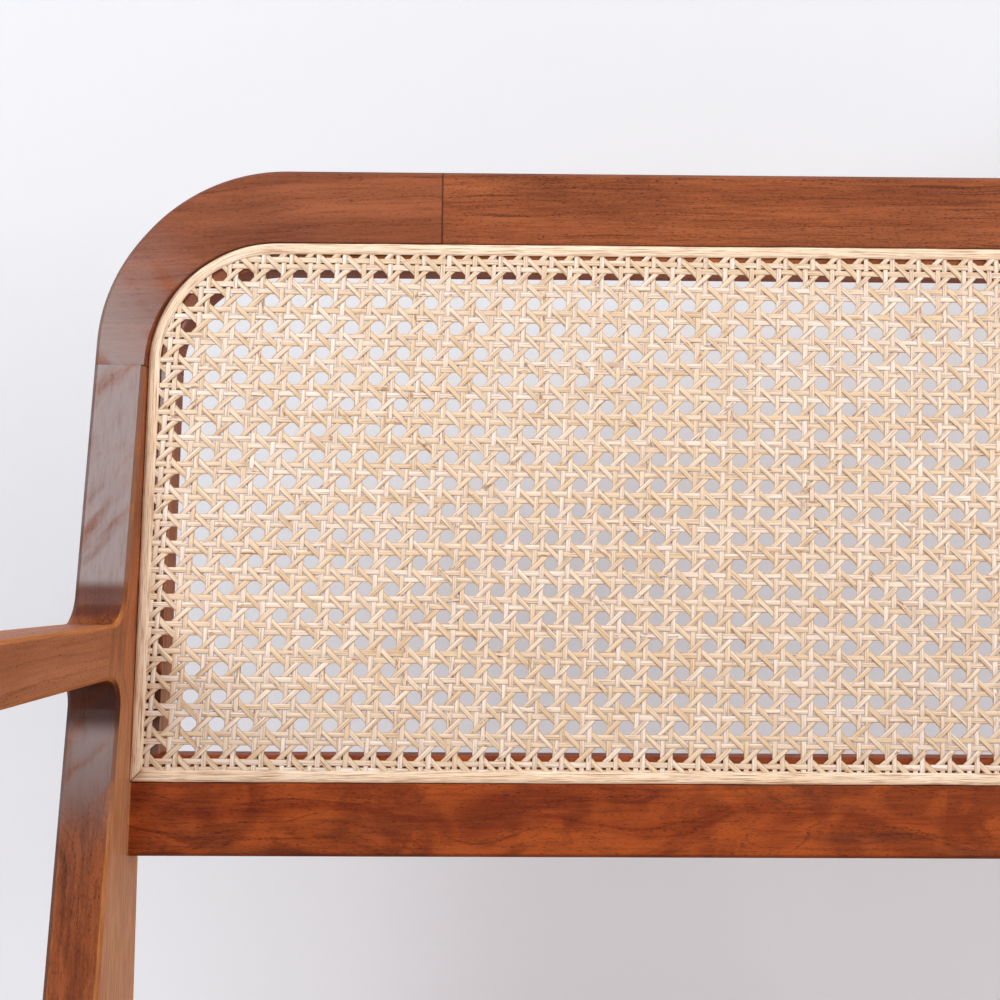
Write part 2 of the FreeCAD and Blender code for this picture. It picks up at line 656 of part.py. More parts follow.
def make_back_spline():
    """The reed that goes up one side, round both corners and down the other side."""
    body = new_body("back_spline", "recline")
    outer_radius, inner_radius = "inner_corner_radius", "bed_corner_radius"
    outline = [
        ("-half_inner", "bed_low"),
        ("-half_inner", "panel_high - inner_corner_radius", outer_radius, False),
        ("inner_corner_radius - half_inner", "panel_high"),
        ("half_inner - inner_corner_radius", "panel_high", outer_radius, False),
        ("half_inner", "panel_high - inner_corner_radius"),
        ("half_inner", "bed_low"),
        ("spline_x", "bed_low"),
        ("spline_x", "bed_high - bed_corner_radius", inner_radius, True),
        ("spline_x - bed_corner_radius", "bed_high"),
        ("bed_corner_radius - spline_x", "bed_high", inner_radius, True),
        ("-spline_x", "bed_high - bed_corner_radius"),
        ("-spline_x", "bed_low"),
    ]
    depth = "groove_depth + spline_rise"
    pad(body, "reed", "XZ_Plane", outline, depth, "-groove_depth")
    chamfer(body, "sloped_top", "spline_ease", at_y("-spline_rise"), [at_z("bed_low")])
    return body


def straight_spline(name, tilt, role, outline, length, offset, top, ends):
    """A straight reed with a sloped top."""
    body = new_body(name, tilt)
    pad(body, "reed", role, outline, length, offset)
    chamfer(body, "sloped_top", "spline_ease", top, ends)
    return body


def make_lower_spline():
    section = [
        ("groove_depth", "panel_low"),
        ("groove_depth", "bed_low"),
        ("-spline_rise", "bed_low"),
        ("-spline_rise", "panel_low"),
    ]
    ends = [at_x("half_inner"), at_x("-half_inner")]
    return straight_spline("back_spline_lower", "recline", "YZ_Plane", section, "inner_width",
                           "-half_inner", at_y("-spline_rise"), ends)


def cross_spline(name, groove_q, bed_q):
    """The reed along the front or the rear seat rail."""
    section = [
        ("-(%s)" % groove_q, "-groove_depth"),
        ("-(%s)" % groove_q, "spline_rise"),
        ("-(%s)" % bed_q, "spline_rise"),
        ("-(%s)" % bed_q, "-groove_depth"),
    ]
    ends = [at_x("half_inner"), at_x("-half_inner")]
    return straight_spline(name, "seat_tilt", "YZ_Plane", section, "inner_width", "-half_inner",
                           at_z("spline_rise"), ends)


def make_side_spline():
    section = [
        ("-half_inner", "-groove_depth"),
        ("-half_inner", "spline_rise"),
        ("-spline_x", "spline_rise"),
        ("-spline_x", "-groove_depth"),
    ]
    ends = [at_y("-rear_bed_q"), at_y("-front_bed_q")]
    return straight_spline("seat_spline_left", "seat_tilt", "XZ_Plane", section,
                           "front_bed_q - rear_bed_q", "rear_bed_q", at_z("spline_rise"), ends)


def make_side_rail():
    """Seat side rail from the rear post to the front leg, with its lip and groove."""
    body = new_body("side_rail_left", "seat_tilt")
    section = [
        ("-outer_x", "-rail_depth"),
        ("-outer_x", "face_rise"),
        ("-half_inner", "face_rise"),
        ("-half_inner", "-groove_depth"),
        ("-spline_x", "-groove_depth"),
        ("-spline_x", "0"),
        ("-lip_x", "0"),
        ("-lip_x", "-rail_depth"),
    ]
    pad(body, "rail", "XZ_Plane", section, "leg_rear_q - knee_reach", "knee_reach")
    ends = [at_y("-leg_rear_q"), at_y("-knee_reach")]
    chamfer(body, "outer_edges", "edge_ease", at_x("-outer_x"), ends)
    block(body, "Additive", "rear_tenon", POST_TENON_X, SIDE_REAR_TENON_Y, RAIL_TENON_UP)
    block(body, "Additive", "front_tenon", POST_TENON_X, SIDE_FRONT_TENON_Y, RAIL_TENON_UP)
    return body


def cross_rail(name, face_q, groove_q, bed_q, lip_q, tenon_y, ease):
    """Front or rear seat rail: its face, groove and lip, from outside to inside."""
    body = new_body(name, "seat_tilt")
    section = [
        ("-(%s)" % face_q, "-rail_depth"),
        ("-(%s)" % face_q, "face_rise"),
        ("-(%s)" % groove_q, "face_rise"),
        ("-(%s)" % groove_q, "-groove_depth"),
        ("-(%s)" % bed_q, "-groove_depth"),
        ("-(%s)" % bed_q, "0"),
        ("-(%s)" % lip_q, "0"),
        ("-(%s)" % lip_q, "-rail_depth"),
    ]
    pad(body, "rail", "YZ_Plane", section, "inner_width", "-half_inner")
    ends = [at_x("half_inner"), at_x("-half_inner")]
    chamfer(body, "face_edges", ease, at_y("-(%s)" % face_q), ends)
    low_q, high_q = (bed_q, lip_q) if size(bed_q) < size(lip_q) else (lip_q, bed_q)
    end_grooves(body, ("-(%s)" % high_q, "-(%s)" % low_q), ("-groove_depth", "0"))
    end_tenons(body, tenon_y, RAIL_TENON_UP)
    return body


def make_front_leg():
    """Front leg, raked square to the seat, flaring into a ledge under the arm."""
    body = new_body("front_leg_left", "seat_tilt")

    def level(height, q):
        """Height along the leg where it meets a level plane, at a distance along the seat."""
        return "((%s) - (%s) * sin(seat_tilt)) / cos(seat_tilt)" % (height, q)

    ledge = "arm_under - ledge_height"
    outline = [
        ("-front_heel_q", level("-floor_drop", "front_heel_q")),
        ("-leg_rear_q", "knee_low_rise"),
        ("-leg_rear_q", level(ledge, "leg_rear_q")),
        ("-ledge_rear_q", level(ledge, "ledge_rear_q")),
        ("-ledge_rear_q", level("arm_under", "ledge_rear_q")),
        ("-ledge_front_q", level("arm_under", "ledge_front_q")),
        ("-ledge_front_q", level(ledge, "ledge_front_q")),
        ("-neck_front_q", level(ledge, "neck_front_q"), "leg_front_radius", True),
        ("-front_toe_q", level("-floor_drop", "front_toe_q")),
    ]
    pad(body, "board", "YZ_Plane", outline, "post_width", "-outer_x")
    corner_fillet(body, "rear_hollow", "leg_flare_radius", "x", *outline[2])
    corner_fillet(body, "front_hollow", "leg_flare_radius", "x", *outline[7][:2])
    ends = [on_level("arm_under", "seat_tilt"), on_level("-floor_drop", "seat_tilt"),
            at_y("-ledge_front_q"), at_y("-ledge_rear_q")]
    chamfer(body, "outer_edges", "edge_ease", at_x("-outer_x"), ends)
    chamfer(body, "inner_edges", "inner_ease", at_x("-half_inner"), ends)
    mortise(body, "arm_mortise", *LEG_LOOSE_TENON)
    mortise(body, "side_rail_mortise", POST_TENON_X, SIDE_FRONT_TENON_Y, RAIL_TENON_UP)
    mortise(body, "front_rail_mortise", INTO_POST_X, FRONT_RAIL_TENON_Y, RAIL_TENON_UP)
    return body


def loose_tenon(name, tilt, across, along, up):
    """A loose tenon as a box, in a frame that leans by the tilt."""
    box = doc.addObject("Part::Box", name)
    for field, (low, high) in (("Length", across), ("Width", along), ("Height", up)):
        bind(box, field, "(%s) - (%s)" % (high, low))
    box.Placement = FreeCAD.Placement(V(), FreeCAD.Rotation(V(-1, 0, 0), 1))
    bind(box, "Placement.Rotation.Angle", "(%s) * 1 deg" % tilt)
    y, z = along[0], up[0]
    place(box, across[0], "(%s) * cos(%s) + (%s) * sin(%s)" % (y, tilt, z, tilt),
          "(%s) * cos(%s) - (%s) * sin(%s)" % (z, tilt, y, tilt))
    return box


def slack_tenon(name, tilt, across, along, up):
    """The space a loose tenon needs, with its glue gap."""
    spans = [("(%s) - tenon_clearance" % low, "(%s) + tenon_clearance" % high)
             for low, high in (across, along, up)]
    return loose_tenon(name, tilt, *spans)


def upright_cylinder(name, radius, low, high, x="-pivot_x", y="pivot_y"):
    """A cylinder between two heights, on the pivot's axis unless another place is given."""
    rod = doc.addObject("Part::Cylinder", name)
    bind(rod, "Radius", radius)
    bind(rod, "Height", "(%s) - (%s)" % (high, low))
    place(rod, x, y, low)
    return rod


def cut(name, base, *tools):
    """The base with each tool cut from it."""
    made = base
    for i, tool in enumerate(tools):
        result = doc.addObject("Part::Cut", name if i == len(tools) - 1 else "%s_cut_%d" % (name, i))
        result.Base = made
        result.Tool = tool
        made = result
    made.Label = name
    return made


def make_arm():
    """The arm: where its side view and its top view meet, with eased edges."""
    side = new_body("arm_side_view")
    outline = [
        ("root_top_y", "root_top_z"),
        ("bend_y", "arm_top"),
        ("-arm_front_reach", "arm_top"),
        ("-arm_front_reach", "arm_under"),
        ("bend_low_y", "arm_under"),
        ("root_low_y", "root_low_z"),
    ]
    pad(side, "board", "YZ_Plane", outline, "arm_width", "-arm_outer_x")
    corner_fillet(side, "top_bend", "arm_bend_radius", "x", "bend_y", "arm_top")
    corner_fillet(side, "low_bend", "arm_bend_radius - arm_thickness", "x",
                  "bend_low_y", "arm_under")
    top = new_body("arm_top_view")
    mid_x = "-half_inner - arm_mid_width"
    outline = [
        ("-half_inner", "root_low_y + post_width"),
        ("-outer_x", "root_low_y + post_width"),
        ("-outer_x", "root_top_y"),
        (mid_x, "-arm_mid_reach"),
        ("-arm_outer_x", "-arm_wide_reach"),
        ("-arm_outer_x", "-arm_front_reach"),
        ("-half_inner", "-arm_front_reach"),
    ]
    pad(top, "board", "XY_Plane", outline, "arm_top - root_low_z + 2 * arm_thickness",
        "root_low_z - arm_thickness")
    corner_fillet(top, "root_bend", "arm_root_fillet", "z", "-outer_x", "root_top_y")
    corner_fillet(top, "mid_bend", "arm_side_fillet", "z", mid_x, "-arm_mid_reach")
    corner_fillet(top, "wide_bend", "arm_side_fillet", "z", "-arm_outer_x", "-arm_wide_reach")
    corner_fillet(top, "outer_corner", "arm_outer_corner", "z", "-arm_outer_x", "-arm_front_reach")
    corner_fillet(top, "inner_corner", "arm_inner_corner", "z", "-half_inner", "-arm_front_reach")
    common = doc.addObject("Part::Common", "arm_common")
    common.Base = side
    common.Tool = top
    doc.recompute()
    return finished_arm(common)


def finished_arm(common):
    """Eases the arm's long edges, all but those of its joint with the post, and cuts its sockets."""
    shape = common.Shape
    origin = V(0, size("corner_y"), size("seat_height"))
    normal = V(0, -math.cos(math.radians(size("recline"))), math.sin(math.radians(size("recline"))))
    reach = size("arm_stub_reach")

    def at_joint(p):
        return close((p - origin).dot(normal), reach)

    def inside_face(p):
        return p.x > -size("half_inner") - NEAR

    inner = edge_numbers(shape, inside_face, [at_joint])
    others = edge_numbers(shape, lambda p: True, [at_joint, inside_face])
    outer = [i for i in others if along_outline(shape.Edges[i - 1])]
    eased = doc.addObject("Part::Chamfer", "arm_eased")
    eased.Base = common
    narrow, wide = size("inner_ease"), size("edge_ease")
    eased.Edges = [(i, narrow, narrow) for i in inner] + [(i, wide, wide) for i in outer]
    doc.recompute()
    root = slack_tenon("arm_root_socket", "recline", *ARM_LOOSE_TENON)
    leg = slack_tenon("arm_leg_socket", "seat_tilt", *LEG_LOOSE_TENON)
    bore = upright_cylinder("arm_bore", "bolt_diameter / 2 + bolt_fit", "arm_under - overrun",
                            "arm_top + overrun")
    return cut("arm_left", eased, root, leg, bore)


def along_outline(edge):
    """Whether an edge runs along the arm's outline and not from its top to its underside."""
    return abs(edge.tangentAt(edge.ParameterRange[0]).z) < math.cos(math.radians(size("recline")))


def make_leg_rest():
    """Swing-out leg rest: a flat board, round at its pivot and narrower at its free end."""
    body = new_body("leg_rest_board")
    tip_y = "pivot_y + leg_rest_length"
    outline = [
        ("-pivot_x - leg_rest_width / 2", "pivot_y - leg_rest_width / 2"),
        ("-pivot_x - leg_rest_width / 2", "pivot_y"),
        ("-pivot_x - leg_rest_tip_width / 2", tip_y),
        ("-pivot_x + leg_rest_tip_width / 2", tip_y),
        ("-pivot_x + leg_rest_width / 2", "pivot_y"),
        ("-pivot_x + leg_rest_width / 2", "pivot_y - leg_rest_width / 2"),
    ]
    pad(body, "board", "XY_Plane", outline, "leg_rest_thickness", "leg_rest_low")
    corners = [outline[0], outline[5]]
    for i, (x, y) in enumerate(corners):
        corner_fillet(body, "pivot_round_%d" % i, "leg_rest_width / 2 - inner_ease / 2", "z", x, y)
    for i, (x, y) in enumerate([outline[2], outline[3]]):
        corner_fillet(body, "tip_round_%d" % i, "leg_rest_tip_width / 2 - inner_ease / 2", "z", x, y)
    chamfer(body, "rims", "leg_rest_ease", either(at_z("leg_rest_low"), at_z("leg_rest_top")))
    bore = upright_cylinder("leg_rest_bore", "bolt_diameter / 2 + running_clearance",
                            "leg_rest_low - overrun", "leg_rest_top + overrun")
    return cut("leg_rest_left", body, bore)


def make_washers(name, low):
    disc = upright_cylinder(name + "_disc", "washer_diameter / 2", low,
                            "(%s) + washer_thickness" % low)
    bore = upright_cylinder(name + "_bore", "bolt_diameter / 2 + bolt_fit", "(%s) - overrun" % low,
                            "(%s) + washer_thickness + overrun" % low)
    return pair(name, cut(name + "_left", disc, bore))


def make_pivot_bolts():
    """The bolts: a low round head on the arm and a shank down to the cap nut."""
    body = new_body("pivot_bolt_left")
    head = [
        ("0", "arm_top"),
        ("head_diameter / 2", "arm_top"),
        ("head_diameter / 2", "arm_top + head_height - head_slope"),
        ("head_diameter / 2 - head_slope", "arm_top + head_height"),
        ("0", "arm_top + head_height"),
    ]
    shank = [
        ("0", "bolt_low"),
        ("bolt_diameter / 2", "bolt_low"),
        ("bolt_diameter / 2", "arm_top"),
        ("0", "arm_top"),
    ]
    for name, outline in (("head", head), ("shank", shank)):
        sketch = new_sketch(body, name + "_outline", "XZ_Plane", outline)
        turn = body.newObject("PartDesign::Revolution", name)
        turn.Profile = sketch
        turn.ReferenceAxis = (sketch, ["V_Axis"])
        turn.Angle = 2 * HALF_TURN
        doc.recompute()
    place(body, "-pivot_x", "pivot_y")
    return pair("pivot_bolts", body)


def make_cap_nuts():
    """Hexagon and dome, bored from above for the bolt's end."""
    hexagon = doc.addObject("Part::Prism", "nut_hexagon")
    hexagon.Polygon = NUT_SIDES
    bind(hexagon, "Circumradius", "nut_width / 2 / cos(%d)" % (HALF_TURN / NUT_SIDES))
    bind(hexagon, "Height", "nut_height")
    place(hexagon, "-pivot_x", "pivot_y", "nut_low")
    dome = upright_cylinder("nut_dome", "cap_diameter / 2", "cap_low", "nut_low")
    doc.recompute()
    rim = edge_numbers(dome.Shape, lambda p: close(p.z, dome.Shape.BoundBox.ZMin))
    domed = doc.addObject("Part::Chamfer", "nut_domed")
    domed.Base = dome
    domed.Edges = [(i, size("cap_slope"), size("cap_slope")) for i in rim]
    whole = doc.addObject("Part::Fuse", "nut_whole")
    whole.Base = hexagon
    whole.Tool = domed
    whole.Refine = True
    bore = upright_cylinder("nut_bore", "bolt_diameter / 2 + bolt_fit", "bolt_low - axial_play",
                            "nut_low + nut_height + overrun")
    return pair("cap_nuts", cut("cap_nut_left", whole, bore))


def make_corner_block_under_seat(name, outline):
    body = new_body(name, "seat_tilt")
    pad(body, "block", "XY_Plane", outline, "block_height", "-rail_depth + inner_ease")
    return body


def make_seat_blocks():
    """Four three-cornered blocks glued in the corners of the seat frame, as one group."""
    rear = [("-lip_x", "-knee_reach"), ("-lip_x", "-knee_reach - block_leg"),
            ("-lip_x + block_leg", "-knee_reach")]
    front = [("-lip_x", "-leg_rear_q"), ("-lip_x", "-leg_rear_q + block_leg"),
             ("-lip_x + block_leg", "-leg_rear_q")]
    blocks = []
    for name, outline in (("rear_block", rear), ("front_block", front)):
        block_left = make_corner_block_under_seat(name, outline)
        blocks += [block_left, mirrored(block_left, name + "_twin")]
    return group("seat_corner_blocks", blocks)


def group(name, pieces):
    """Separate like pieces kept together under one name."""
    made = doc.addObject("Part::Compound", name)
    made.Label = name
    made.Links = pieces
    return made


def pair(name, left):
    """A left-hand fastener and its right-hand twin, kept together."""
    doc.recompute()
    return group(name, [left, mirrored(left, name + "_twin")])


def make_glides():
    """A nylon disc under each foot."""
    rear = upright_cylinder("rear_glide", "glide_diameter / 2", "-seat_height", "-floor_drop",
                            "-post_mid_x", "rear_foot_reach - foot_depth / 2")
    front = upright_cylinder("front_glide", "glide_diameter / 2", "-seat_height", "-floor_drop",
                             "-post_mid_x", "front_foot_y")
    discs = [rear, mirrored(rear, "rear_glide_twin"), front, mirrored(front, "front_glide_twin")]
    return group("foot_glides", discs)


def make_loose_tenons():
    """The hidden tenons of the butt joints, in two groups."""
    back, arms = [], []
    for name, spans in (("post_tenon", POST_LOOSE_TENON), ("rail_tenon", RAIL_LOOSE_TENON)):
        one = loose_tenon(name, "recline", *spans)
        back += [one, mirrored(one, name + "_twin")]
    root = loose_tenon("root_tenon", "recline", *ARM_LOOSE_TENON)
    leg = loose_tenon("leg_tenon", "seat_tilt", *LEG_LOOSE_TENON)
    for one in (root, leg):
        arms += [one, mirrored(one, one.Name + "_twin")]
    return [group("back_joint_tenons", back), group("arm_joint_tenons", arms)]


def opening(x, y, width):
    """An eight-sided opening of the woven cane about a place, as a closed wire."""
    step = 2 * math.pi / OPENING_SIDES
    radius = width / 2 / math.cos(step / 2)
    turns = [step * (corner + 1 / 2) for corner in range(OPENING_SIDES)]
    ring = [V(x + radius * math.cos(turn), y + radius * math.sin(turn), 0) for turn in turns]
    return Part.makePolygon(ring + ring[:1])


def net(outline, low, high, columns, rows):
    """A sheet of cane: one face with rows of openings between low and high, made thick."""
    strand = size("strand_width")
    pitch_x = (high[0] - low[0]) / columns
    pitch_y = (high[1] - low[1]) / rows
    width = min(pitch_x, pitch_y) - strand
    inside = Part.Face(outline.makeOffset2D(-size("lip_width") - strand / 2))
    holes = []
    for column in range(columns):
        for row in range(rows):
            x = low[0] + (column + 1 / 2) * pitch_x
            y = low[1] + (row + 1 / 2) * pitch_y
            hole = opening(x, y, width)
            if all(inside.isInside(corner.Point, NEAR, True) for corner in hole.Vertexes):
                holes.append(hole)
    print("a sheet of cane has", len(holes), "openings")
    holed = Part.makeFace([outline] + holes, "Part::FaceMakerBullseye")
    return holed.extrude(V(0, 0, size("cane_thickness")))


def make_back_cane():
    """The back's woven cane, inside the spline."""
    side, low, high = size("spline_x"), size("bed_low"), size("bed_high")
    radius = size("bed_corner_radius")
    slant = radius * math.cos(math.pi / 4)
    centre_x, centre_y = side - radius, high - radius
    right = [V(side, centre_y, 0), V(centre_x + slant, centre_y + slant, 0), V(centre_x, high, 0)]
    left = [V(-spot.x, spot.y, 0) for spot in reversed(right)]
    base = [V(-side, low, 0), V(side, low, 0)]
    edges = [
        Part.makeLine(base[0], base[1]),
        Part.makeLine(base[1], right[0]),
        Part.Arc(*right).toShape(),
        Part.makeLine(right[2], left[0]),
        Part.Arc(*left).toShape(),
        Part.makeLine(left[2], base[0]),
    ]
    lip = size("lip_width")
    solid = net(Part.Wire(edges), (lip - side, low + lip), (side - lip, high - lip),
                int(size("back_gap_columns")), int(size("back_gap_rows")))
    return sheet_feature("back_cane", solid, HALF_TURN / 2 - size("recline"))


def make_seat_cane():
    """The seat's woven cane, inside the splines."""
    side, rear, front = size("spline_x"), -size("rear_bed_q"), -size("front_bed_q")
    lip = size("lip_width")
    corners = [V(-side, front, 0), V(side, front, 0), V(side, rear, 0), V(-side, rear, 0)]
    outline = Part.makePolygon(corners + corners[:1])
    solid = net(outline, (lip - side, front + lip), (side - lip, rear - lip),
                int(size("seat_gap_columns")), int(size("seat_gap_rows")))
    return sheet_feature("seat_cane", solid, -size("seat_tilt"))


def sheet_feature(name, solid, turn):
    """A sheet of cane as an object of its own, turned up about the seat corner."""
    feature = doc.addObject("Part::Feature", name)
    feature.Shape = solid
    spot = V(0, size("corner_y"), size("seat_height"))
    feature.Placement = FreeCAD.Placement(spot, FreeCAD.Rotation(V(1, 0, 0), turn))
    feature.Label = name
    return feature


def make_pieces():
    """Every piece under the name of its file."""
    lefts = [
        make_rear_post(),
        make_corner_block(),
        make_arm(),
        make_front_leg(),
        make_side_rail(),
        make_side_spline(),
        make_leg_rest(),
    ]
    doc.recompute()
    rights = [mirrored(piece, piece.Label.replace("left", "right")) for piece in lefts]
    middles = [
        make_top_rail(),
        make_lower_back_rail(),
        make_back_spline(),
        make_lower_spline(),
        make_back_cane(),
        cross_rail("rear_seat_rail", "0", "rear_groove_q", "rear_bed_q", "knee_reach",
                   REAR_RAIL_TENON_Y, "inner_ease"),
        cross_rail("front_seat_rail", "seat_depth", "front_groove_q", "front_bed_q", "leg_rear_q",
                   FRONT_RAIL_TENON_Y, "edge_ease"),
        cross_spline("seat_spline_rear", "rear_groove_q", "rear_bed_q"),
        cross_spline("seat_spline_front", "front_groove_q", "front_bed_q"),
        make_seat_cane(),
        make_seat_blocks(),
        make_pivot_bolts(),
        make_washers("spacer_washers", "spacer_low"),
        make_washers("lower_washers", "lower_washer_low"),
        make_cap_nuts(),
        make_glides(),
    ]
    return lefts + rights + middles + make_loose_tenons()


def check_and_write(pieces):
    doc.recompute()
    failed = [o.Name for o in doc.Objects if {"Invalid", "Error"} & set(o.State)]
    if failed:
        raise RuntimeError("failed objects: %s" % failed)
    os.makedirs("parts", exist_ok=True)
    for piece in pieces:
        shape = piece.Shape
        if shape.isNull() or not shape.isValid() or not shape.Solids:
            raise RuntimeError(piece.Label + " is not a sound solid")
        shape.exportStep("parts/%s.step" % piece.Label)
    print("wrote", len(pieces), "pieces")


check_and_write(make_pieces())
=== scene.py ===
"""Planters chair: woven cane, reed, oiled teak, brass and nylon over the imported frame."""
import math

import bpy
import numpy as np
from mathutils import Matrix, Vector


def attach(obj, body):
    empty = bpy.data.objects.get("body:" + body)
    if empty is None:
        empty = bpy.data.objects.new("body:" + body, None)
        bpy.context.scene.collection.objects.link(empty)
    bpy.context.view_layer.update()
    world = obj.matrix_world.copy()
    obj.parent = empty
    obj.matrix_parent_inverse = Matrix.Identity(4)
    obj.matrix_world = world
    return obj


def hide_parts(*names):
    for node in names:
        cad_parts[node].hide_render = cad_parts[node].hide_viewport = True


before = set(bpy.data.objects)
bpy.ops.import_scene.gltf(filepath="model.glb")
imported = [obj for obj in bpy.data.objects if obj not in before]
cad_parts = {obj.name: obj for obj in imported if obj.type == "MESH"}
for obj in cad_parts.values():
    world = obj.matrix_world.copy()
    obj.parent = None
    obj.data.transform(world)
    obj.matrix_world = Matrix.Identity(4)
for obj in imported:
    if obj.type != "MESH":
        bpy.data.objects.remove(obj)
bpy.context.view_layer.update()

MM = 0.001
rng = np.random.default_rng(7)

# Places of the two cane panels as the frame has them, with lengths in millimetres
SEAT_HEIGHT = 340
RECLINE = math.radians(20)
TILT = math.radians(7)
CORNER_Y = 241.460
BED_EDGE = 285
BACK_LOW = 147.7
BACK_HIGH = 395.7
BED_RADIUS = 56
SEAT_REAR_BED = 36.5
SEAT_FRONT_BED = 503.5

# Directions of the chair
LEFT = (-1, 0, 0)
RIGHT = (1, 0, 0)
BACKWARD = (0, 1, 0)
UPWARD = (0, 0, 1)
UP_BACK = (0, math.sin(RECLINE), math.cos(RECLINE))
DOWN_BACK = (0, -math.sin(RECLINE), -math.cos(RECLINE))
OUT_BACK = (0, -math.cos(RECLINE), math.sin(RECLINE))
FORWARD_SEAT = (0, -math.cos(TILT), math.sin(TILT))

# The weave in millimetres: PAIRS holds half the distance between the two strands of a pair
PITCH = 12.7
PAIRS = {"across": 1.76, "upright": 1.68}
WIDTHS = {"across": 2.8, "upright": 2.45, "falling": 2.5, "rising": 2.5}
WAYS = {"across": (1, 0), "upright": (0, 1), "falling": (1, -1), "rising": (1, 1)}
STRAND_THICKNESS = 0.4
PLAIN_LIFT = 0.25
SLANT_LIFT = 0.5

# How each panel's weave lies: a hole's middle, the slant, and the sway's size, length and start
BACK_HOLE = (-133.21, 257.30)
SEAT_HOLE = (0, 270)
BACK_SKEW = ((1.0044, 0.0295), (-0.004, 0.9947))
SEAT_SKEW = ((1.0, 0.006), (-0.004, 1.0))
BACK_SWAY = (1.3, 265, 1.033)
SEAT_SWAY = (0.9, 310, 0.4)

# Sections per pitch and points round a strand: the back is seen from close by
BACK_DETAIL = (8, 6)
SEAT_DETAIL = (6, 4)

# Places round a strand's section, across its width and through its thickness
SECTIONS = {
    6: ([-1, -0.8, 0, 0.8, 1, 0], [-0.1, 0.40, 0.5, 0.40, -0.1, -0.5]),
    4: ([-1, 0, 1, 0], [-0.1, 0.5, -0.1, -0.5]),
}

# A slanted strand's height over one pitch
SLANT_KNOTS = np.array([0, 0.19, 0.31, 0.69, 0.81, 1])
SLANT_VALUES = np.array([1.0, 1, -1, -1, 1, 1])

# Strands on each side of the middle, and the pitches that each runs both ways before it is cut
STRANDS = 90
RUN = 60

# Cutting: points tested along a strand, the fewest inside that make one, and the least end gap
TEST_POINTS = 24001
LEAST_INSIDE = 8
END_GAP = 0.2

# How far the strands run on under the spline
HIDDEN = 0.7

# Looks of a strand: each wave's size and length, and the spread of widths
SLOW_WANDER = (0.13, 31)
QUICK_WANDER = (0.09, 11)
SWELL = (0.05, 23)
ROLL = (0.07, 17)
WIDTH_SPREAD = 0.05

# A reed spline's section, outward from the bed's edge and above the bed, and its unevenness
SPLINE_PROFILE = np.array([
    (0.15, -4.6), (-0.1, -2.0), (-0.2, 0.3), (-0.7, 0.7), (-0.85, 1.1), (-0.5, 1.5), (0.4, 1.8),
    (1.9, 1.95), (3.3, 1.85), (4.2, 1.5), (4.66, 1.0), (4.75, 0.2), (4.7, -2.0), (4.4, -4.6),
])
SLOW_WOBBLE = (0.05, 17)
QUICK_WOBBLE = (0.04, 5.3)
TOP_WOBBLE = (0.04, 29)
MITRE_START = 0.25
SPLINE_STEP = 3.0
ARC_POINTS = 46
SAME_POINT = 0.05


def back_point(x, up, rise):
    """Points of the back: rise is in front of the cane's bed."""
    y = CORNER_Y + up * math.sin(RECLINE) - rise * math.cos(RECLINE)
    z = SEAT_HEIGHT + up * math.cos(RECLINE) + rise * math.sin(RECLINE)
    return np.stack([x * MM, y * MM, z * MM], axis=-1)


def seat_point(x, q, rise):
    """Points of the seat: q runs forward from the corner, rise is above the cane's bed."""
    y = CORNER_Y - q * math.cos(TILT) + rise * math.sin(TILT)
    z = SEAT_HEIGHT + q * math.sin(TILT) + rise * math.cos(TILT)
    return np.stack([x * MM, y * MM, z * MM], axis=-1)


# Mesh helpers
def add_mesh(name, verts, faces, marks, material):
    """A piece of tubes: its sides are smooth, its end caps are flat, and the material reads marks."""
    mesh = bpy.data.meshes.new(name)
    mesh.from_pydata(verts.tolist(), [], faces)
    mesh.polygons.foreach_set("use_smooth", np.array([len(face) == 4 for face in faces]))
    layer = mesh.attributes.new("strand", "FLOAT_VECTOR", "POINT")
    layer.data.foreach_set("vector", marks.astype(np.float32).ravel())
    mesh.materials.append(material)
    mesh.update()
    piece = bpy.data.objects.new(name, mesh)
    bpy.context.scene.collection.objects.link(piece)
    return piece


def tube_faces(rows, ring, first):
    """Quads round a tube of rows sections with ring points each, numbered from first."""
    grid = first + np.arange(rows * ring).reshape(rows, ring)
    a = grid[:-1]
    b = grid[1:]
    quads = np.stack([a, np.roll(a, -1, axis=1), np.roll(b, -1, axis=1), b], axis=-1)
    return quads.reshape(-1, 4)


def strand_marks(along, side, tone):
    """For each point: metres along the strand, place across its width, and the strand's own tone."""
    shape = (len(along), len(side))
    marks = np.stack([
        np.broadcast_to(along[:, None] * MM, shape),
        np.broadcast_to(side[None, :], shape),
        np.full(shape, tone),
    ], axis=-1)
    return marks.reshape(-1, 3)


def wave(along, start, size, length):
    return size * np.sin(along / length + start)


# Woven cane
def ease(q, knots, values):
    """Smooth steps between values at the knots of one pitch."""
    i = np.clip(np.searchsorted(knots, q, side="right") - 1, 0, len(knots) - 2)
    low = np.take(knots, i)
    high = np.take(knots, i + 1)
    t = (q - low) / (high - low)
    t = t * t * (3 - 2 * t)
    return np.take(values, i) * (1 - t) + np.take(values, i + 1) * t


def plain_wave(coordinate, pair):
    """+1 just past the middle of a crossing block, -1 just before it, 0 at a hole's middle."""
    q = np.mod(coordinate / PITCH, 1)
    share = pair / PITCH
    return ease(q, np.array([0, 0.5 - share, 0.5 + share, 1]), np.array([0.0, -1, 1, 0]))


def slant_wave(coordinate):
    """+1 over the pair at a hole's side, -1 under the next pair."""
    return ease(np.mod(coordinate / PITCH, 1), SLANT_KNOTS, SLANT_VALUES)


def strand_line(family, offset, steps):
    """The middle line of one strand on the even lattice."""
    if family == "across":
        return steps, np.full_like(steps, offset)
    if family == "upright":
        return np.full_like(steps, offset), steps
    if family == "falling":
        return steps, offset - steps
    return steps, steps - offset


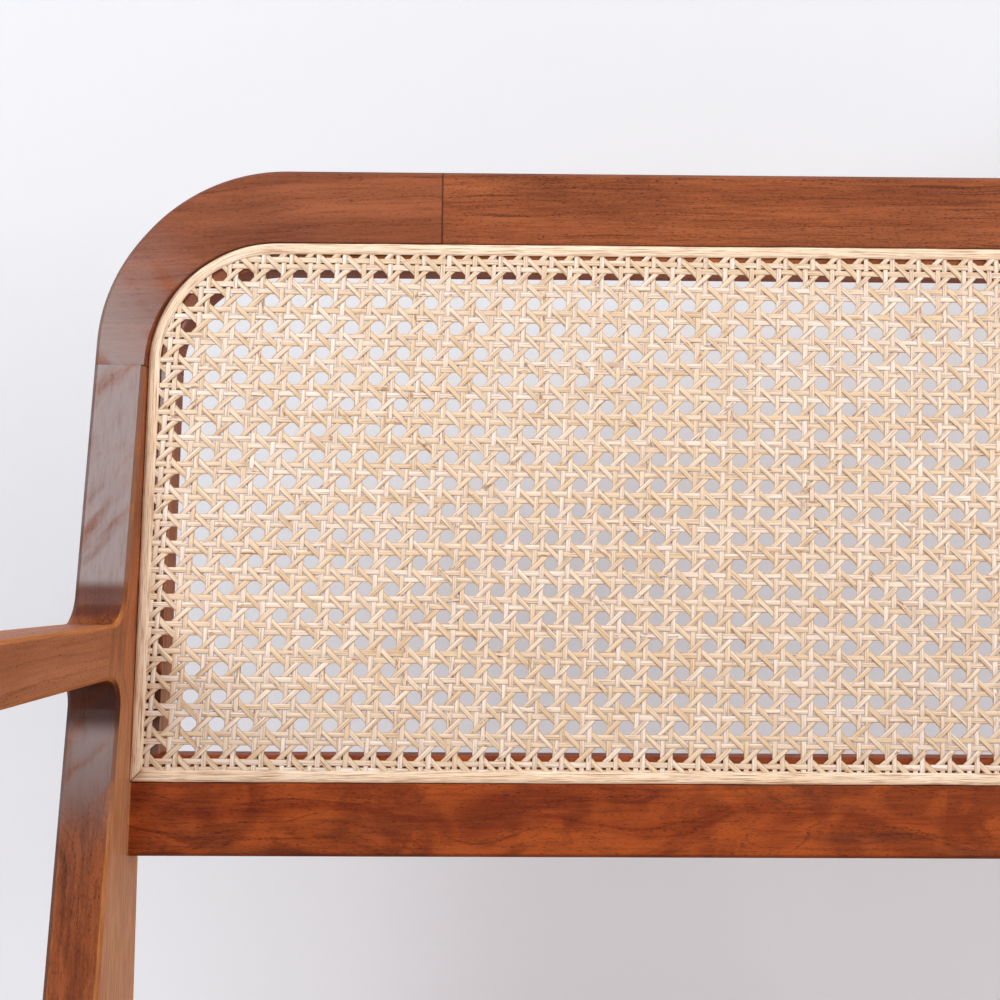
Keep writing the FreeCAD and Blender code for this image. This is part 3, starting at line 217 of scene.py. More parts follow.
def strand_height(family, turn, u, v):
    """How far a strand is above or below the weave's middle; turn is its place in its pair."""
    if family == "across":
        return -turn * PLAIN_LIFT * plain_wave(u, PAIRS["upright"])
    if family == "upright":
        return turn * PLAIN_LIFT * plain_wave(v, PAIRS["across"])
    if family == "falling":
        return SLANT_LIFT * slant_wave(u)
    return -SLANT_LIFT * slant_wave(u)


def weave(name, place, hole, skew, sway, inside, detail):
    """Four meshes of strands: across, upright, falling and rising."""
    per_pitch, ring = detail
    side, lift = (np.array(values) for values in SECTIONS[ring])
    (ux, vx), (uy, vy) = skew
    swing, swing_length, swing_start = sway

    def spread(u, v):
        """The woven sheet as it lies: slanted a little and swaying from side to side."""
        swayed = swing * np.cos(2 * math.pi * u / swing_length + swing_start)
        return u * ux + v * vx + hole[0] + swayed, u * uy + v * vy + hole[1]

    steps = np.arange(-RUN * per_pitch, RUN * per_pitch + 1) * (PITCH / per_pitch)
    tested = np.linspace(steps[0], steps[-1], TEST_POINTS)
    pieces = []
    for family, way in WAYS.items():
        verts, faces, marks = [], [], []
        count = 0
        length = math.hypot(*way)
        nx, ny = -way[1] / length, way[0] / length
        turns = (-1, 1) if family in PAIRS else (0,)
        pair = PAIRS.get(family, 0)
        strands = [
            (turn, (number + 0.5) * PITCH + turn * pair)
            for number in range(-STRANDS, STRANDS) for turn in turns
        ]
        for turn, offset in strands:
            u, v = strand_line(family, offset, steps)

            # The strand is cut where it leaves the panel's outline
            within = inside(*spread(np.interp(tested, steps, u), np.interp(tested, steps, v)))
            kept = np.flatnonzero(within)
            if len(kept) < LEAST_INSIDE:
                continue
            low, high = tested[kept[0]], tested[kept[-1]]
            middle = steps[(steps > low + END_GAP) & (steps < high - END_GAP)]
            if len(middle) == 0:
                continue
            t = np.concatenate([[low], middle, [high]])
            u = np.interp(t, steps, u)
            v = np.interp(t, steps, v)
            height = strand_height(family, turn, u, v)

            # Each strand wanders and differs a little in width
            along = t * length
            phase = rng.uniform(0, 2 * math.pi, 3)
            wander = wave(along, phase[0], *SLOW_WANDER) + wave(along, phase[1], *QUICK_WANDER)
            swell = 1 + wave(along, phase[2], *SWELL)
            half = WIDTHS[family] / 2 * rng.normal(1, WIDTH_SPREAD) * swell
            across = side[None, :] * half[:, None] + wander[:, None]
            pu = u[:, None] + across * nx
            pv = v[:, None] + across * ny
            roll = wave(along, phase[1], *ROLL)[:, None] * side[None, :]
            section = lift[None, :] * STRAND_THICKNESS
            rise = SLANT_LIFT + STRAND_THICKNESS / 2 + height[:, None] + section
            points = place(*spread(pu, pv), rise + roll).reshape(-1, 3)
            verts.append(points)
            faces.append(tube_faces(len(t), ring, count))
            marks.append(strand_marks(along, side, rng.uniform()))
            count += len(points)
        faces = np.concatenate(faces).tolist()
        marks = np.concatenate(marks)
        pieces.append(add_mesh(f"{name}_{family}", np.concatenate(verts), faces, marks, CANE_LOOKS[family]))
    return pieces


# Node helpers
def linear(red, green, blue):
    """An sRGB colour of 0 to 255 as the linear one that a socket takes."""
    out = []
    for value in (red, green, blue):
        c = value / 255
        out.append(c / 12.92 if c <= 0.04045 else ((c + 0.055) / 1.055) ** 2.4)
    return (*out, 1)


class Nodes:
    """A short way to write a material's nodes."""

    def __init__(self, name):
        self.material = bpy.data.materials.new(name)
        self.material.use_nodes = True
        self.tree = self.material.node_tree
        self.tree.nodes.clear()
        self.out = self.tree.nodes.new("ShaderNodeOutputMaterial")
        self.shader = self.tree.nodes.new("ShaderNodeBsdfPrincipled")
        self.link(self.shader.outputs["BSDF"], self.out.inputs["Surface"])

    def link(self, source, socket):
        self.tree.links.new(source, socket)

    def put(self, value, socket):
        """Links a socket to another one, or sets it to a number; None leaves it alone."""
        if value is None:
            return
        if isinstance(value, bpy.types.NodeSocket):
            self.link(value, socket)
        else:
            socket.default_value = value

    def attribute(self, name):
        node = self.tree.nodes.new("ShaderNodeAttribute")
        node.attribute_name = name
        return node.outputs["Vector"]

    def place(self):
        return self.tree.nodes.new("ShaderNodeTexCoord").outputs["Object"]

    def geometry(self, output):
        return self.tree.nodes.new("ShaderNodeNewGeometry").outputs[output]

    def mapping(self, vector, scale=(1, 1, 1), shift=(0, 0, 0), turn=(0, 0, 0)):
        """The vector scaled, then turned, then shifted."""
        node = self.tree.nodes.new("ShaderNodeMapping")
        self.link(vector, node.inputs["Vector"])
        node.inputs["Location"].default_value = shift
        node.inputs["Rotation"].default_value = turn
        node.inputs["Scale"].default_value = scale
        return node.outputs["Vector"]

    def noise(self, vector, scale=1.0, detail=2.0, rough=0.5, twist=0.0):
        node = self.tree.nodes.new("ShaderNodeTexNoise")
        self.link(vector, node.inputs["Vector"])
        node.inputs["Scale"].default_value = scale
        node.inputs["Detail"].default_value = detail
        node.inputs["Roughness"].default_value = rough
        node.inputs["Distortion"].default_value = twist
        return node.outputs["Fac"]

    def math(self, operation, a, b=None, c=None, clamp=False):
        node = self.tree.nodes.new("ShaderNodeMath")
        node.operation = operation
        node.use_clamp = clamp
        for value, socket in zip((a, b, c), node.inputs):
            self.put(value, socket)
        return node.outputs[0]

    def plus(self, a, b):
        return self.math("ADD", a, b)

    def minus(self, a, b):
        return self.math("SUBTRACT", a, b)

    def times(self, a, b):
        return self.math("MULTIPLY", a, b)

    def dot(self, vector, way):
        node = self.tree.nodes.new("ShaderNodeVectorMath")
        node.operation = "DOT_PRODUCT"
        self.put(vector, node.inputs[0])
        self.put(way, node.inputs[1])
        return node.outputs["Value"]

    def length(self, vector):
        node = self.tree.nodes.new("ShaderNodeVectorMath")
        node.operation = "LENGTH"
        self.link(vector, node.inputs[0])
        return node.outputs["Value"]

    def split(self, vector):
        node = self.tree.nodes.new("ShaderNodeSeparateXYZ")
        self.link(vector, node.inputs[0])
        return node.outputs

    def combine(self, x, y, z):
        node = self.tree.nodes.new("ShaderNodeCombineXYZ")
        for value, socket in zip((x, y, z), node.inputs):
            self.put(value, socket)
        return node.outputs[0]

    def ramp(self, value, low, high, start=0.0, end=1.0):
        """A smooth step from start, where the value is low, to end, where it is high."""
        node = self.tree.nodes.new("ShaderNodeMapRange")
        node.interpolation_type = "SMOOTHSTEP"
        self.put(value, node.inputs["Value"])
        node.inputs["From Min"].default_value = low
        node.inputs["From Max"].default_value = high
        node.inputs["To Min"].default_value = start
        node.inputs["To Max"].default_value = end
        return node.outputs["Result"]

    def mix(self, factor, a, b):
        """Colour a where the factor is 0 and b where it is 1, by the sockets that colours use."""
        node = self.tree.nodes.new("ShaderNodeMix")
        node.data_type = "RGBA"
        self.put(factor, node.inputs[0])
        self.put(a, node.inputs[6])
        self.put(b, node.inputs[7])
        return node.outputs[2]

    def bevel(self, radius):
        node = self.tree.nodes.new("ShaderNodeBevel")
        node.samples = 6
        node.inputs["Radius"].default_value = radius
        return node.outputs[0]

    def bump(self, height, strength, distance, normal=None):
        node = self.tree.nodes.new("ShaderNodeBump")
        self.link(height, node.inputs["Height"])
        node.inputs["Strength"].default_value = strength
        node.inputs["Distance"].default_value = distance
        if normal is not None:
            self.link(normal, node.inputs["Normal"])
        return node.outputs[0]


# Teak's tones, from deep to light
PLAIN_TONES = (linear(84, 38, 22), linear(145, 76, 43), linear(176, 99, 58))
RED_TONES = (linear(88, 30, 13), linear(142, 60, 25), linear(170, 80, 34))
DARK_TONES = (linear(78, 33, 18), linear(144, 76, 42), linear(178, 98, 56))
CORNER_TONES = (linear(80, 36, 21), linear(134, 71, 42), linear(162, 91, 56))
ARM_TONES = (linear(116, 62, 38), linear(162, 97, 63), linear(186, 120, 82))

# Colours of the marks on teak
SMOKE_COLOUR = linear(80, 42, 30)
PORE_COLOUR = linear(50, 22, 13)
# Painted highlight on edges, and painted shade on edges turned outward
EDGE_HIGHLIGHT_COLOURS = (linear(172, 98, 44), linear(212, 136, 70))
EDGE_SHADE_COLOUR = linear(80, 42, 28)
# Painted light on the post's inward face
PAINTED_LIGHT_COLOURS = (linear(186, 126, 86), linear(214, 158, 118))
SEAM_COLOUR = linear(52, 24, 14)
END_COLOUR = linear(226, 164, 118)
# Painted shade on the post's front below the arm
PAINTED_SHADE_COLOUR = linear(46, 16, 8)

# Noise scales of teak: along the grain, across it and out of the board
SEED_SHIFT = (1.37, 0.11, 0.07)
WARP_SCALE = (6.5, 19, 19)
RIPPLE_SCALE = (34, 130, 130)
FIBRE_SCALE = (42, 760, 760)
PORE_SCALE = (520, 2100, 2100)
SMOKE_SCALE = (9, 60, 60)
BAND_SCALE = (14, 58, 58)
BROAD_SCALE = 95
FINE_SCALE = 430

# Cloud scales on a board with no swirl, and what a full swirl adds
CLOUD_SCALES = ((10, 16), (26, 10), (26, 10))
CLOUD_TWIST = 1.6
SWIRL_FROM = 0.5

# Growth layers: their slope through the board, their change along the grain, and how far they bend
LAYER_SLOPE = 0.62
LAYER_DRIFT = 0.012
BROAD_DRIFT = 0.02
FINE_DRIFT = 0.014
WARP_LEAST = 0.005
WARP_BY_FIGURE = 0.060
RIPPLE_SIZE = 0.0026

# Where a noise turns into a mark: the values from and to, then the mark's strengths there
BROAD_MARK = (0.32, 0.68)
CLOUD_MARK = (0.62, 0.36, 0)
LINE_MARK = (0.54, 0.68)
SMOKE_MARK = (0.52, 0.72)
DARK_FIBRE_MARK = (0.52, 0.34, 0)
PALE_FIBRE_MARK = (0.50, 0.68, 0)
PORE_MARK = (0.565, 0.64)
PORES_BY_LINE = (0.36, 0.62, 0.35, 1)
EDGE_HIGHLIGHT_MARK = (0.3, 0.7)
PAINTED_LIGHT_MARK = (0.35, 0.65)
BAND_MARK = (0.36, 0.56)
COAT_BY_FIBRE = (0.30, 0.55, 0.72, 1)

# Strengths of the marks; where there are two, the second is for a full figure
CLOUD_STRENGTHS = (0.30, 0.22)
SMOKE_STRENGTHS = (0.16, 0.60)
LINE_STRENGTH = 0.64
DARK_FIBRE_STRENGTH = 0.46
PALE_FIBRE_STRENGTH = 0.42
PORE_STRENGTH = 0.78
SHINE_STRENGTH = 0.9
SHADE_STRENGTH = 0.80
LEAST_BAND = 0.25

# Which faces a look is on, by how far the surface turns to its direction
SLOPED_EDGE = (0.40, 0.49)
EDGE_SHADE_FACE = (0.15, 0.45)
PAINTED_LIGHT_FACE = (0.6, 0.9)
FRONT_FACE = (0.45, 0.8)
SHADE_FACE = (0.1, 0.5)
# Painted highlight on rounded rims, by how far the bevelled normal turns from the face
RIM_HIGHLIGHT_MARK = (0.996, 0.90, 0)

# Lengths on teak in metres: edge radii, and the half widths of joint lines and end lines
EDGE_RADIUS = 0.0014
RIM_HIGHLIGHT_RADIUS = 0.0032
SEAM_LINE = (0.0006, 0.0002, 0, 0.70)
END_LINE = (0.0012, 0.0004, 0, 0.75)

# The post's painted shade: margins of its ends along the post, in metres, and its strengths
SHADE_START = 0.010
SHADE_STOP = 0.004
DULL_STOP = (0.0035, -0.0025)
DULL_STRENGTH = 0.85
# The painted light on the post's inward face: its margin past the shade, and its strengths low and high
PAINTED_LIGHT_MARGIN = 0.03
PAINTED_LIGHT_STRENGTHS = (0.85, 0.2)

# Turns in radians: smoky streaks and bands of polish lie at a slant to the grain
SMOKE_TURN = 0.05
BAND_TURN = 0.75

# Just over one, so that the square root is never of a negative number
OVER_ONE = 1.0001

# Teak's surface: roughness by fibre and by pore, parts of the relief, its strength and depth, gloss
ROUGH_BY_FIBRE = (0.16, 0.40)
ROUGH_BY_PORE = 0.2
FIBRE_RELIEF = 0.5
PORE_RELIEF = 0.9
TEAK_RELIEF = (0.35, 0.00014)
TEAK_SPECULAR = 0.10
POLISH_ROUGHNESS = 0.22
POLISH_IOR = 1.68


# Teak
def board_axes(along, face):
    """Unit directions along the grain, across it and out of the board."""
    along = Vector(along).normalized()
    across = Vector(face).normalized().cross(along).normalized()
    return along, across, along.cross(across).normalized()


def growth(n, board, seed, lines, figure):
    """Broad and fine layers of growth, bent by the figure of the board."""
    x, y, z = n.split(board)
    warp = n.noise(n.mapping(board, scale=WARP_SCALE), detail=2, rough=0.55)
    warp = n.times(n.minus(warp, 0.5), WARP_BY_FIGURE * figure + WARP_LEAST)
    ripple = n.noise(n.mapping(board, scale=RIPPLE_SCALE), detail=2)
    warp = n.math("MULTIPLY_ADD", n.minus(ripple, 0.5), RIPPLE_SIZE, warp)
    layer = n.plus(n.math("MULTIPLY_ADD", z, LAYER_SLOPE, y), warp)
    drifting = n.plus(layer, n.times(x, LAYER_DRIFT))
    broad = n.noise(n.combine(drifting, n.times(x, BROAD_DRIFT), seed), scale=BROAD_SCALE, detail=2)
    fine_place = n.combine(layer, n.times(x, FINE_DRIFT), seed)
    fine = n.noise(fine_place, scale=FINE_SCALE * lines, detail=3, rough=0.65)
    return broad, fine


def line_at(n, tone, way, at, line, colour):
    """A line across the wood where it has gone a given distance one way."""
    off = n.math("ABSOLUTE", n.minus(n.dot(n.place(), way), at))
    return n.mix(n.ramp(off, *line), tone, colour)


def teak(name, along, face, side, seed, lines=1.0, figure=0.3, tones=PLAIN_TONES, polish=0.03,
         edge_shade_side=None, shade=None, shine=None, painted_light_side=None, calm=1.0, seams=(), ends=(), rim_highlight=0.0,
         painted_edge_strength=0.3):
    """Oiled teak with the grain along one direction; side is square to the board's flat sides."""
    n = Nodes(name)
    along, across, face = board_axes(along, face)
    turn = Matrix((along, across, face)).to_euler("XYZ")
    board = n.mapping(n.place(), turn=turn, shift=tuple(seed * share for share in SEED_SHIFT))
    up = n.dot(n.place(), tuple(along))
    deep, middle, light = tones
    broad, fine = growth(n, board, seed, lines, figure)

    # Fibres, pores, long smoky streaks and clouds
    fibre = n.noise(n.mapping(board, scale=FIBRE_SCALE), detail=5, rough=0.75)
    pore = n.noise(n.mapping(board, scale=PORE_SCALE, shift=(seed, 0, 0)), detail=2, rough=0.6)
    pores = n.times(n.ramp(pore, *PORE_MARK), n.ramp(fine, *PORES_BY_LINE))
    smoke_place = n.mapping(board, scale=SMOKE_SCALE, shift=(0, 0, seed), turn=(0, 0, SMOKE_TURN))
    smoke = n.noise(smoke_place, detail=5, rough=0.65)
    least, more = SMOKE_STRENGTHS
    smoke = n.times(n.ramp(smoke, *SMOKE_MARK), least + more * min(figure, 1))
    swirl = max(figure - SWIRL_FROM, 0)
    cloud_scale = tuple(scale + added * swirl for scale, added in CLOUD_SCALES)
    cloud_place = n.mapping(board, scale=cloud_scale, shift=(seed, 2, 0))
    cloud = n.noise(cloud_place, detail=3, twist=CLOUD_TWIST * swirl)

    least, more = CLOUD_STRENGTHS
    tone = n.mix(n.ramp(broad, *BROAD_MARK), middle, light)
    tone = n.mix(n.ramp(cloud, *CLOUD_MARK, least + more * min(figure, 1)), tone, deep)
    tone = n.mix(n.times(n.ramp(fine, *LINE_MARK), LINE_STRENGTH * calm), tone, deep)
    tone = n.mix(n.times(smoke, calm), tone, SMOKE_COLOUR)
    tone = n.mix(n.ramp(fibre, *DARK_FIBRE_MARK, DARK_FIBRE_STRENGTH * calm), tone, deep)
    tone = n.mix(n.ramp(fibre, *PALE_FIBRE_MARK, PALE_FIBRE_STRENGTH * calm), tone, light)
    tone = n.mix(n.times(pores, PORE_STRENGTH * calm), tone, PORE_COLOUR)

    # Painted highlight on sloped edges, golden on the inner side, and painted shade, dark, on the outer one
    plain = n.geometry("Normal")
    lean = n.math("ABSOLUTE", n.dot(plain, side))
    slope = n.times(lean, n.math("SQRT", n.minus(OVER_ONE, n.times(lean, lean))))
    painted_edge = n.mix(n.ramp(fibre, *EDGE_HIGHLIGHT_MARK), *EDGE_HIGHLIGHT_COLOURS)
    if edge_shade_side is not None:
        painted_edge = n.mix(n.ramp(n.dot(plain, edge_shade_side), *EDGE_SHADE_FACE), painted_edge, EDGE_SHADE_COLOUR)
    tone = n.mix(n.times(n.ramp(slope, *SLOPED_EDGE), painted_edge_strength), tone, painted_edge)
    # Painted light: faces turned to the inward side are paler, most strongly low down
    if painted_light_side is not None:
        low, high = shade[0] - PAINTED_LIGHT_MARGIN, shade[1] + PAINTED_LIGHT_MARGIN
        lit = n.times(n.ramp(n.dot(plain, painted_light_side), *PAINTED_LIGHT_FACE), n.ramp(up, low, high, *PAINTED_LIGHT_STRENGTHS))
        tone = n.mix(lit, tone, n.mix(n.ramp(fibre, *PAINTED_LIGHT_MARK), *PAINTED_LIGHT_COLOURS))
    # Painted highlight on rounded rims, where the bevelled normal turns from the face
    if rim_highlight:
        rim_turn = n.dot(n.bevel(RIM_HIGHLIGHT_RADIUS), plain)
        tone = n.mix(n.ramp(rim_turn, *RIM_HIGHLIGHT_MARK, rim_highlight), tone, painted_edge)
    for way, at in seams:
        tone = line_at(n, tone, way, at, SEAM_LINE, SEAM_COLOUR)
    for way, at in ends:
        tone = line_at(n, tone, way, at, END_LINE, END_COLOUR)

    # Polish lies on the front only, in slanted bands
    front = n.ramp(n.dot(plain, OUT_BACK), *FRONT_FACE)
    slanted = n.mapping(board, turn=(0, 0, BAND_TURN))
    bands = n.noise(n.mapping(slanted, scale=BAND_SCALE, shift=(seed, 0, 0)), detail=4, rough=0.6)
    coat = n.times(front, n.ramp(bands, *BAND_MARK, LEAST_BAND * polish, polish))
    coat = n.times(coat, n.ramp(fibre, *COAT_BY_FIBRE))
    if shine is not None:
        way, low, high, least = shine
        coat = n.times(coat, n.ramp(n.dot(n.place(), way), low, high, least, 1))
        tone = n.mix(n.math("MULTIPLY", coat, SHINE_STRENGTH, clamp=True), tone, deep)
    # Painted shade on the post's front below the arm, and less polish there
    if shade is not None:
        low, high, end, way = shade
        started = n.ramp(up, low, low + SHADE_START)
        shaded = n.times(started, n.ramp(up, high + SHADE_STOP, high))
        dull_from, dull_to = (end + margin for margin in DULL_STOP)
        dulled = n.times(started, n.ramp(up, dull_from, dull_to, 0, DULL_STRENGTH))
        coat = n.times(coat, n.minus(1, dulled))
        shaded = n.times(shaded, n.ramp(n.dot(plain, way), *SHADE_FACE))
        tone = n.mix(n.times(shaded, SHADE_STRENGTH), tone, PAINTED_SHADE_COLOUR)
    n.link(tone, n.shader.inputs["Base Color"])
    n.link(coat, n.shader.inputs["Coat Weight"])
    rough = n.math("MULTIPLY_ADD", fibre, *ROUGH_BY_FIBRE)
    n.link(n.plus(rough, n.times(pores, ROUGH_BY_PORE)), n.shader.inputs["Roughness"])
    height = n.minus(n.times(fibre, FIBRE_RELIEF), n.times(pores, PORE_RELIEF))
    n.link(n.bump(height, *TEAK_RELIEF, n.bevel(EDGE_RADIUS)), n.shader.inputs["Normal"])
    n.shader.inputs["Specular IOR Level"].default_value = TEAK_SPECULAR
    n.shader.inputs["Coat Roughness"].default_value = POLISH_ROUGHNESS
    n.shader.inputs["Coat IOR"].default_value = POLISH_IOR
    return n.material


# Cane and reed
TAN = linear(228, 196, 156)
CANE_BROWN = linear(170, 122, 78)
CANE_CREAM = linear(250, 238, 226)
CANE_SPOT = linear(146, 94, 58)

# How far apart the tones of strands lie in the noise, so that no two strands look the same
TONE_SPREAD = 91.0

# Cane's noise scales along a strand and across its width
CANE_FIBRE_SCALE = (42, 3.6)
CANE_STREAK_SCALE = (17, 0.8)
CANE_SPOT_SCALE = (260, 1.5)

# Spots gather in rare stretches of a strand
RARE_SCALE = 26
RARE_PLACE = 4.0

# Where cane gets a mark and the mark's strengths there, then its surface
SPOT_MARK = (0.55, 0.66)
RARE_MARK = (0.57, 0.66)
SPOT_STRENGTH = 0.8
TAN_MARGIN = 0.25
TAN_STRENGTH = 0.60
TAN_STREAK = (0.38, 0.66, 0, 0.75)
CREAM_STREAK = (0.48, 0.28, 0, 0.60)
BROWN_FIBRE = (0.36, 0.50, 0.70, 0)
BROWN_RIM = (0.70, 1.0, 0, 0.60)
CANE_ROUGH = (0.2, 0.8, 0.32, 0.5)
CANE_RELIEF = (0.35, 0.0001)
CANE_COAT = 0.15
CANE_COAT_ROUGHNESS = 0.28

# Reed's colours, its noise scales along the spline and across it, its marks and its surface
REED_DEEP = linear(241, 208, 174)
REED_PALE = linear(252, 229, 202)
REED_BROWN = linear(180, 130, 90)
REED_CREAM = linear(253, 235, 214)
REED_HAIR = linear(148, 100, 66)
REED_BLOTCH = linear(190, 140, 98)
REED_FIBRE_SCALE = (45, 1.5)
REED_HAIR_SCALE = (70, 3.2)
REED_BROAD_SCALE = (9, 0.7)
REED_BLOTCH_SCALE = (75, 0.8)
REED_BROAD_MARK = (0.3, 0.7)
REED_BROWN_MARK = (0.50, 0.34, 0, 0.90)
REED_CREAM_MARK = (0.53, 0.66, 0, 0.80)
REED_HAIR_MARK = (0.46, 0.34, 0, 0.65)
REED_BLOTCH_MARK = (0.60, 0.74, 0, 0.45)
REED_ROUGH = (0.2, 0.8, 0.42, 0.6)
REED_RELIEF = (0.6, 0.00025)
REED_RELIEF_PARTS = (0.7, 0.3)


def strand_noise(n, along, side, seed, scale, detail, rough=0.5):
    """Noise on a strand, with one scale along it and one across its width."""
    place = n.combine(n.times(along, scale[0]), n.times(side, scale[1]), seed)
    return n.noise(place, detail=detail, rough=rough)


def cane(name, pale, share):
    """Split cane; share is the part of the strands that are tan."""
    n = Nodes(name)
    along, side, tone = n.split(n.attribute("strand"))
    seed = n.times(tone, TONE_SPREAD)
    fibre = strand_noise(n, along, side, seed, CANE_FIBRE_SCALE, 3, 0.65)
    streak = strand_noise(n, along, side, seed, CANE_STREAK_SCALE, 2)
    spot = strand_noise(n, along, side, seed, CANE_SPOT_SCALE, 2)
    rare = n.noise(n.combine(n.times(along, RARE_SCALE), seed, RARE_PLACE), detail=1)
    spots = n.times(n.ramp(spot, *SPOT_MARK), n.ramp(rare, *RARE_MARK))
    low, high = 1 - share - TAN_MARGIN, 1 - share + TAN_MARGIN
    colour = n.mix(n.ramp(tone, low, high, 0, TAN_STRENGTH), pale, TAN)
    colour = n.mix(n.ramp(streak, *TAN_STREAK), colour, TAN)
    colour = n.mix(n.ramp(streak, *CREAM_STREAK), colour, CANE_CREAM)
    colour = n.mix(n.ramp(fibre, *BROWN_FIBRE), colour, CANE_BROWN)
    colour = n.mix(n.ramp(n.math("ABSOLUTE", side), *BROWN_RIM), colour, CANE_BROWN)
    colour = n.mix(n.times(spots, SPOT_STRENGTH), colour, CANE_SPOT)
    n.link(colour, n.shader.inputs["Base Color"])
    n.link(n.ramp(fibre, *CANE_ROUGH), n.shader.inputs["Roughness"])
    n.link(n.bump(fibre, *CANE_RELIEF), n.shader.inputs["Normal"])
    n.shader.inputs["Coat Weight"].default_value = CANE_COAT
    n.shader.inputs["Coat Roughness"].default_value = CANE_COAT_ROUGHNESS
    return n.material


def reed(name):
    """Round reed, pale with brown fibres and hairs."""
    n = Nodes(name)
    along, side, tone = n.split(n.attribute("strand"))
    fibre = strand_noise(n, along, side, tone, REED_FIBRE_SCALE, 4, 0.6)
    hair = strand_noise(n, along, side, tone, REED_HAIR_SCALE, 2, 0.6)
    broad = strand_noise(n, along, side, tone, REED_BROAD_SCALE, 2)
    blotch = strand_noise(n, along, side, tone, REED_BLOTCH_SCALE, 3)
    colour = n.mix(n.ramp(broad, *REED_BROAD_MARK), REED_DEEP, REED_PALE)
    colour = n.mix(n.ramp(fibre, *REED_BROWN_MARK), colour, REED_BROWN)
    colour = n.mix(n.ramp(fibre, *REED_CREAM_MARK), colour, REED_CREAM)
    colour = n.mix(n.ramp(hair, *REED_HAIR_MARK), colour, REED_HAIR)
    colour = n.mix(n.ramp(blotch, *REED_BLOTCH_MARK), colour, REED_BLOTCH)
    n.link(colour, n.shader.inputs["Base Color"])
    n.link(n.ramp(fibre, *REED_ROUGH), n.shader.inputs["Roughness"])
    fibre_part, hair_part = REED_RELIEF_PARTS
    height = n.plus(n.times(fibre, fibre_part), n.times(hair, hair_part))
    n.link(n.bump(height, *REED_RELIEF), n.shader.inputs["Normal"])
    return n.material


# Brass and nylon: colours, marks, roughness, relief with its strength and depth, and edge radii
BRASS_COLOURS = (linear(206, 164, 96), linear(168, 124, 66))
BRASS_CLOUD_MARK = (0.35, 0.7)
BRASS_ROUGH = (0.3, 0.7, 0.24, 0.42)
BRASS_RELIEF = (0.12, 0.00006)
BRASS_EDGE = 0.0006
NYLON_COLOURS = (linear(44, 38, 34), linear(72, 64, 58))
NYLON_SCUFF_MARK = (0.45, 0.7)
NYLON_ROUGH = (0.3, 0.7, 0.45, 0.6)
NYLON_RELIEF = (0.2, 0.00008)
NYLON_EDGE = 0.0005


def even_noise(n, scale, detail, rough=0.5):
    """Noise of the same scale all ways."""
    return n.noise(n.mapping(n.place(), scale=(scale, scale, scale)), detail=detail, rough=rough)


def brass(name):
    n = Nodes(name)
    rub = even_noise(n, 900, 4, 0.7)
    cloud = even_noise(n, 120, 3)
    n.link(n.mix(n.ramp(cloud, *BRASS_CLOUD_MARK), *BRASS_COLOURS), n.shader.inputs["Base Color"])
    n.shader.inputs["Metallic"].default_value = 1
    n.link(n.ramp(rub, *BRASS_ROUGH), n.shader.inputs["Roughness"])
    n.link(n.bump(rub, *BRASS_RELIEF, n.bevel(BRASS_EDGE)), n.shader.inputs["Normal"])
    return n.material


def nylon(name):
    n = Nodes(name)
    grain = even_noise(n, 1600, 3)
    scuff = even_noise(n, 160, 4)
    n.link(n.mix(n.ramp(scuff, *NYLON_SCUFF_MARK), *NYLON_COLOURS), n.shader.inputs["Base Color"])
    n.link(n.ramp(grain, *NYLON_ROUGH), n.shader.inputs["Roughness"])
    n.link(n.bump(grain, *NYLON_RELIEF, n.bevel(NYLON_EDGE)), n.shader.inputs["Normal"])
    return n.material


CANE_LOOKS = {
    "across": cane("cane_across", linear(243, 223, 206), 0.35),
    "upright": cane("cane_upright", linear(244, 225, 210), 0.25),
    "falling": cane("cane_falling", linear(238, 214, 188), 0.5),
    "rising": cane("cane_rising", linear(241, 218, 196), 0.4),
}
reed_look = reed("reed")
brass_look = brass("brass")
nylon_look = nylon("nylon")

# Painted shade on the post's front just below the arm, where the arm shades it: heights along the post
corner_along = (CORNER_Y * math.sin(RECLINE) + SEAT_HEIGHT * math.cos(RECLINE)) * MM
POST_SHADE = (corner_along + 0.164, corner_along + 0.192, corner_along + 0.233, OUT_BACK)

# Where polish shines: a direction, the distances along it where that begins and is full, and the least
POST_SHINE = (UP_BACK, corner_along + 0.110, corner_along + 0.152, 0.12)
CORNER_SHINE = (-0.32, -0.235, 0.03)

# Directions that lean with a piece: the corner block's grain and shine, the arm and the front leg
CORNER_LEAN = 0.05
CORNER_WAY = 0.7
ARM_ALONG = (0, 1, -0.3)
LEG_ALONG = (0, 0.1, 1)
LEG_FACE = (0, -1, 0.1)


def reach(node, way):
    """How far a node goes in one direction, where its joint is."""
    points = np.array([v.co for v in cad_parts[node].data.vertices])
    return float((points @ np.array(way)).max())


rail_end = reach("top_rail", RIGHT)
post_end = reach("rear_post_left", UP_BACK)
arm_end = reach("arm_left", BACKWARD)

# Half the width between the posts in metres, where the lower rail ends
HALF_INSIDE = 0.290

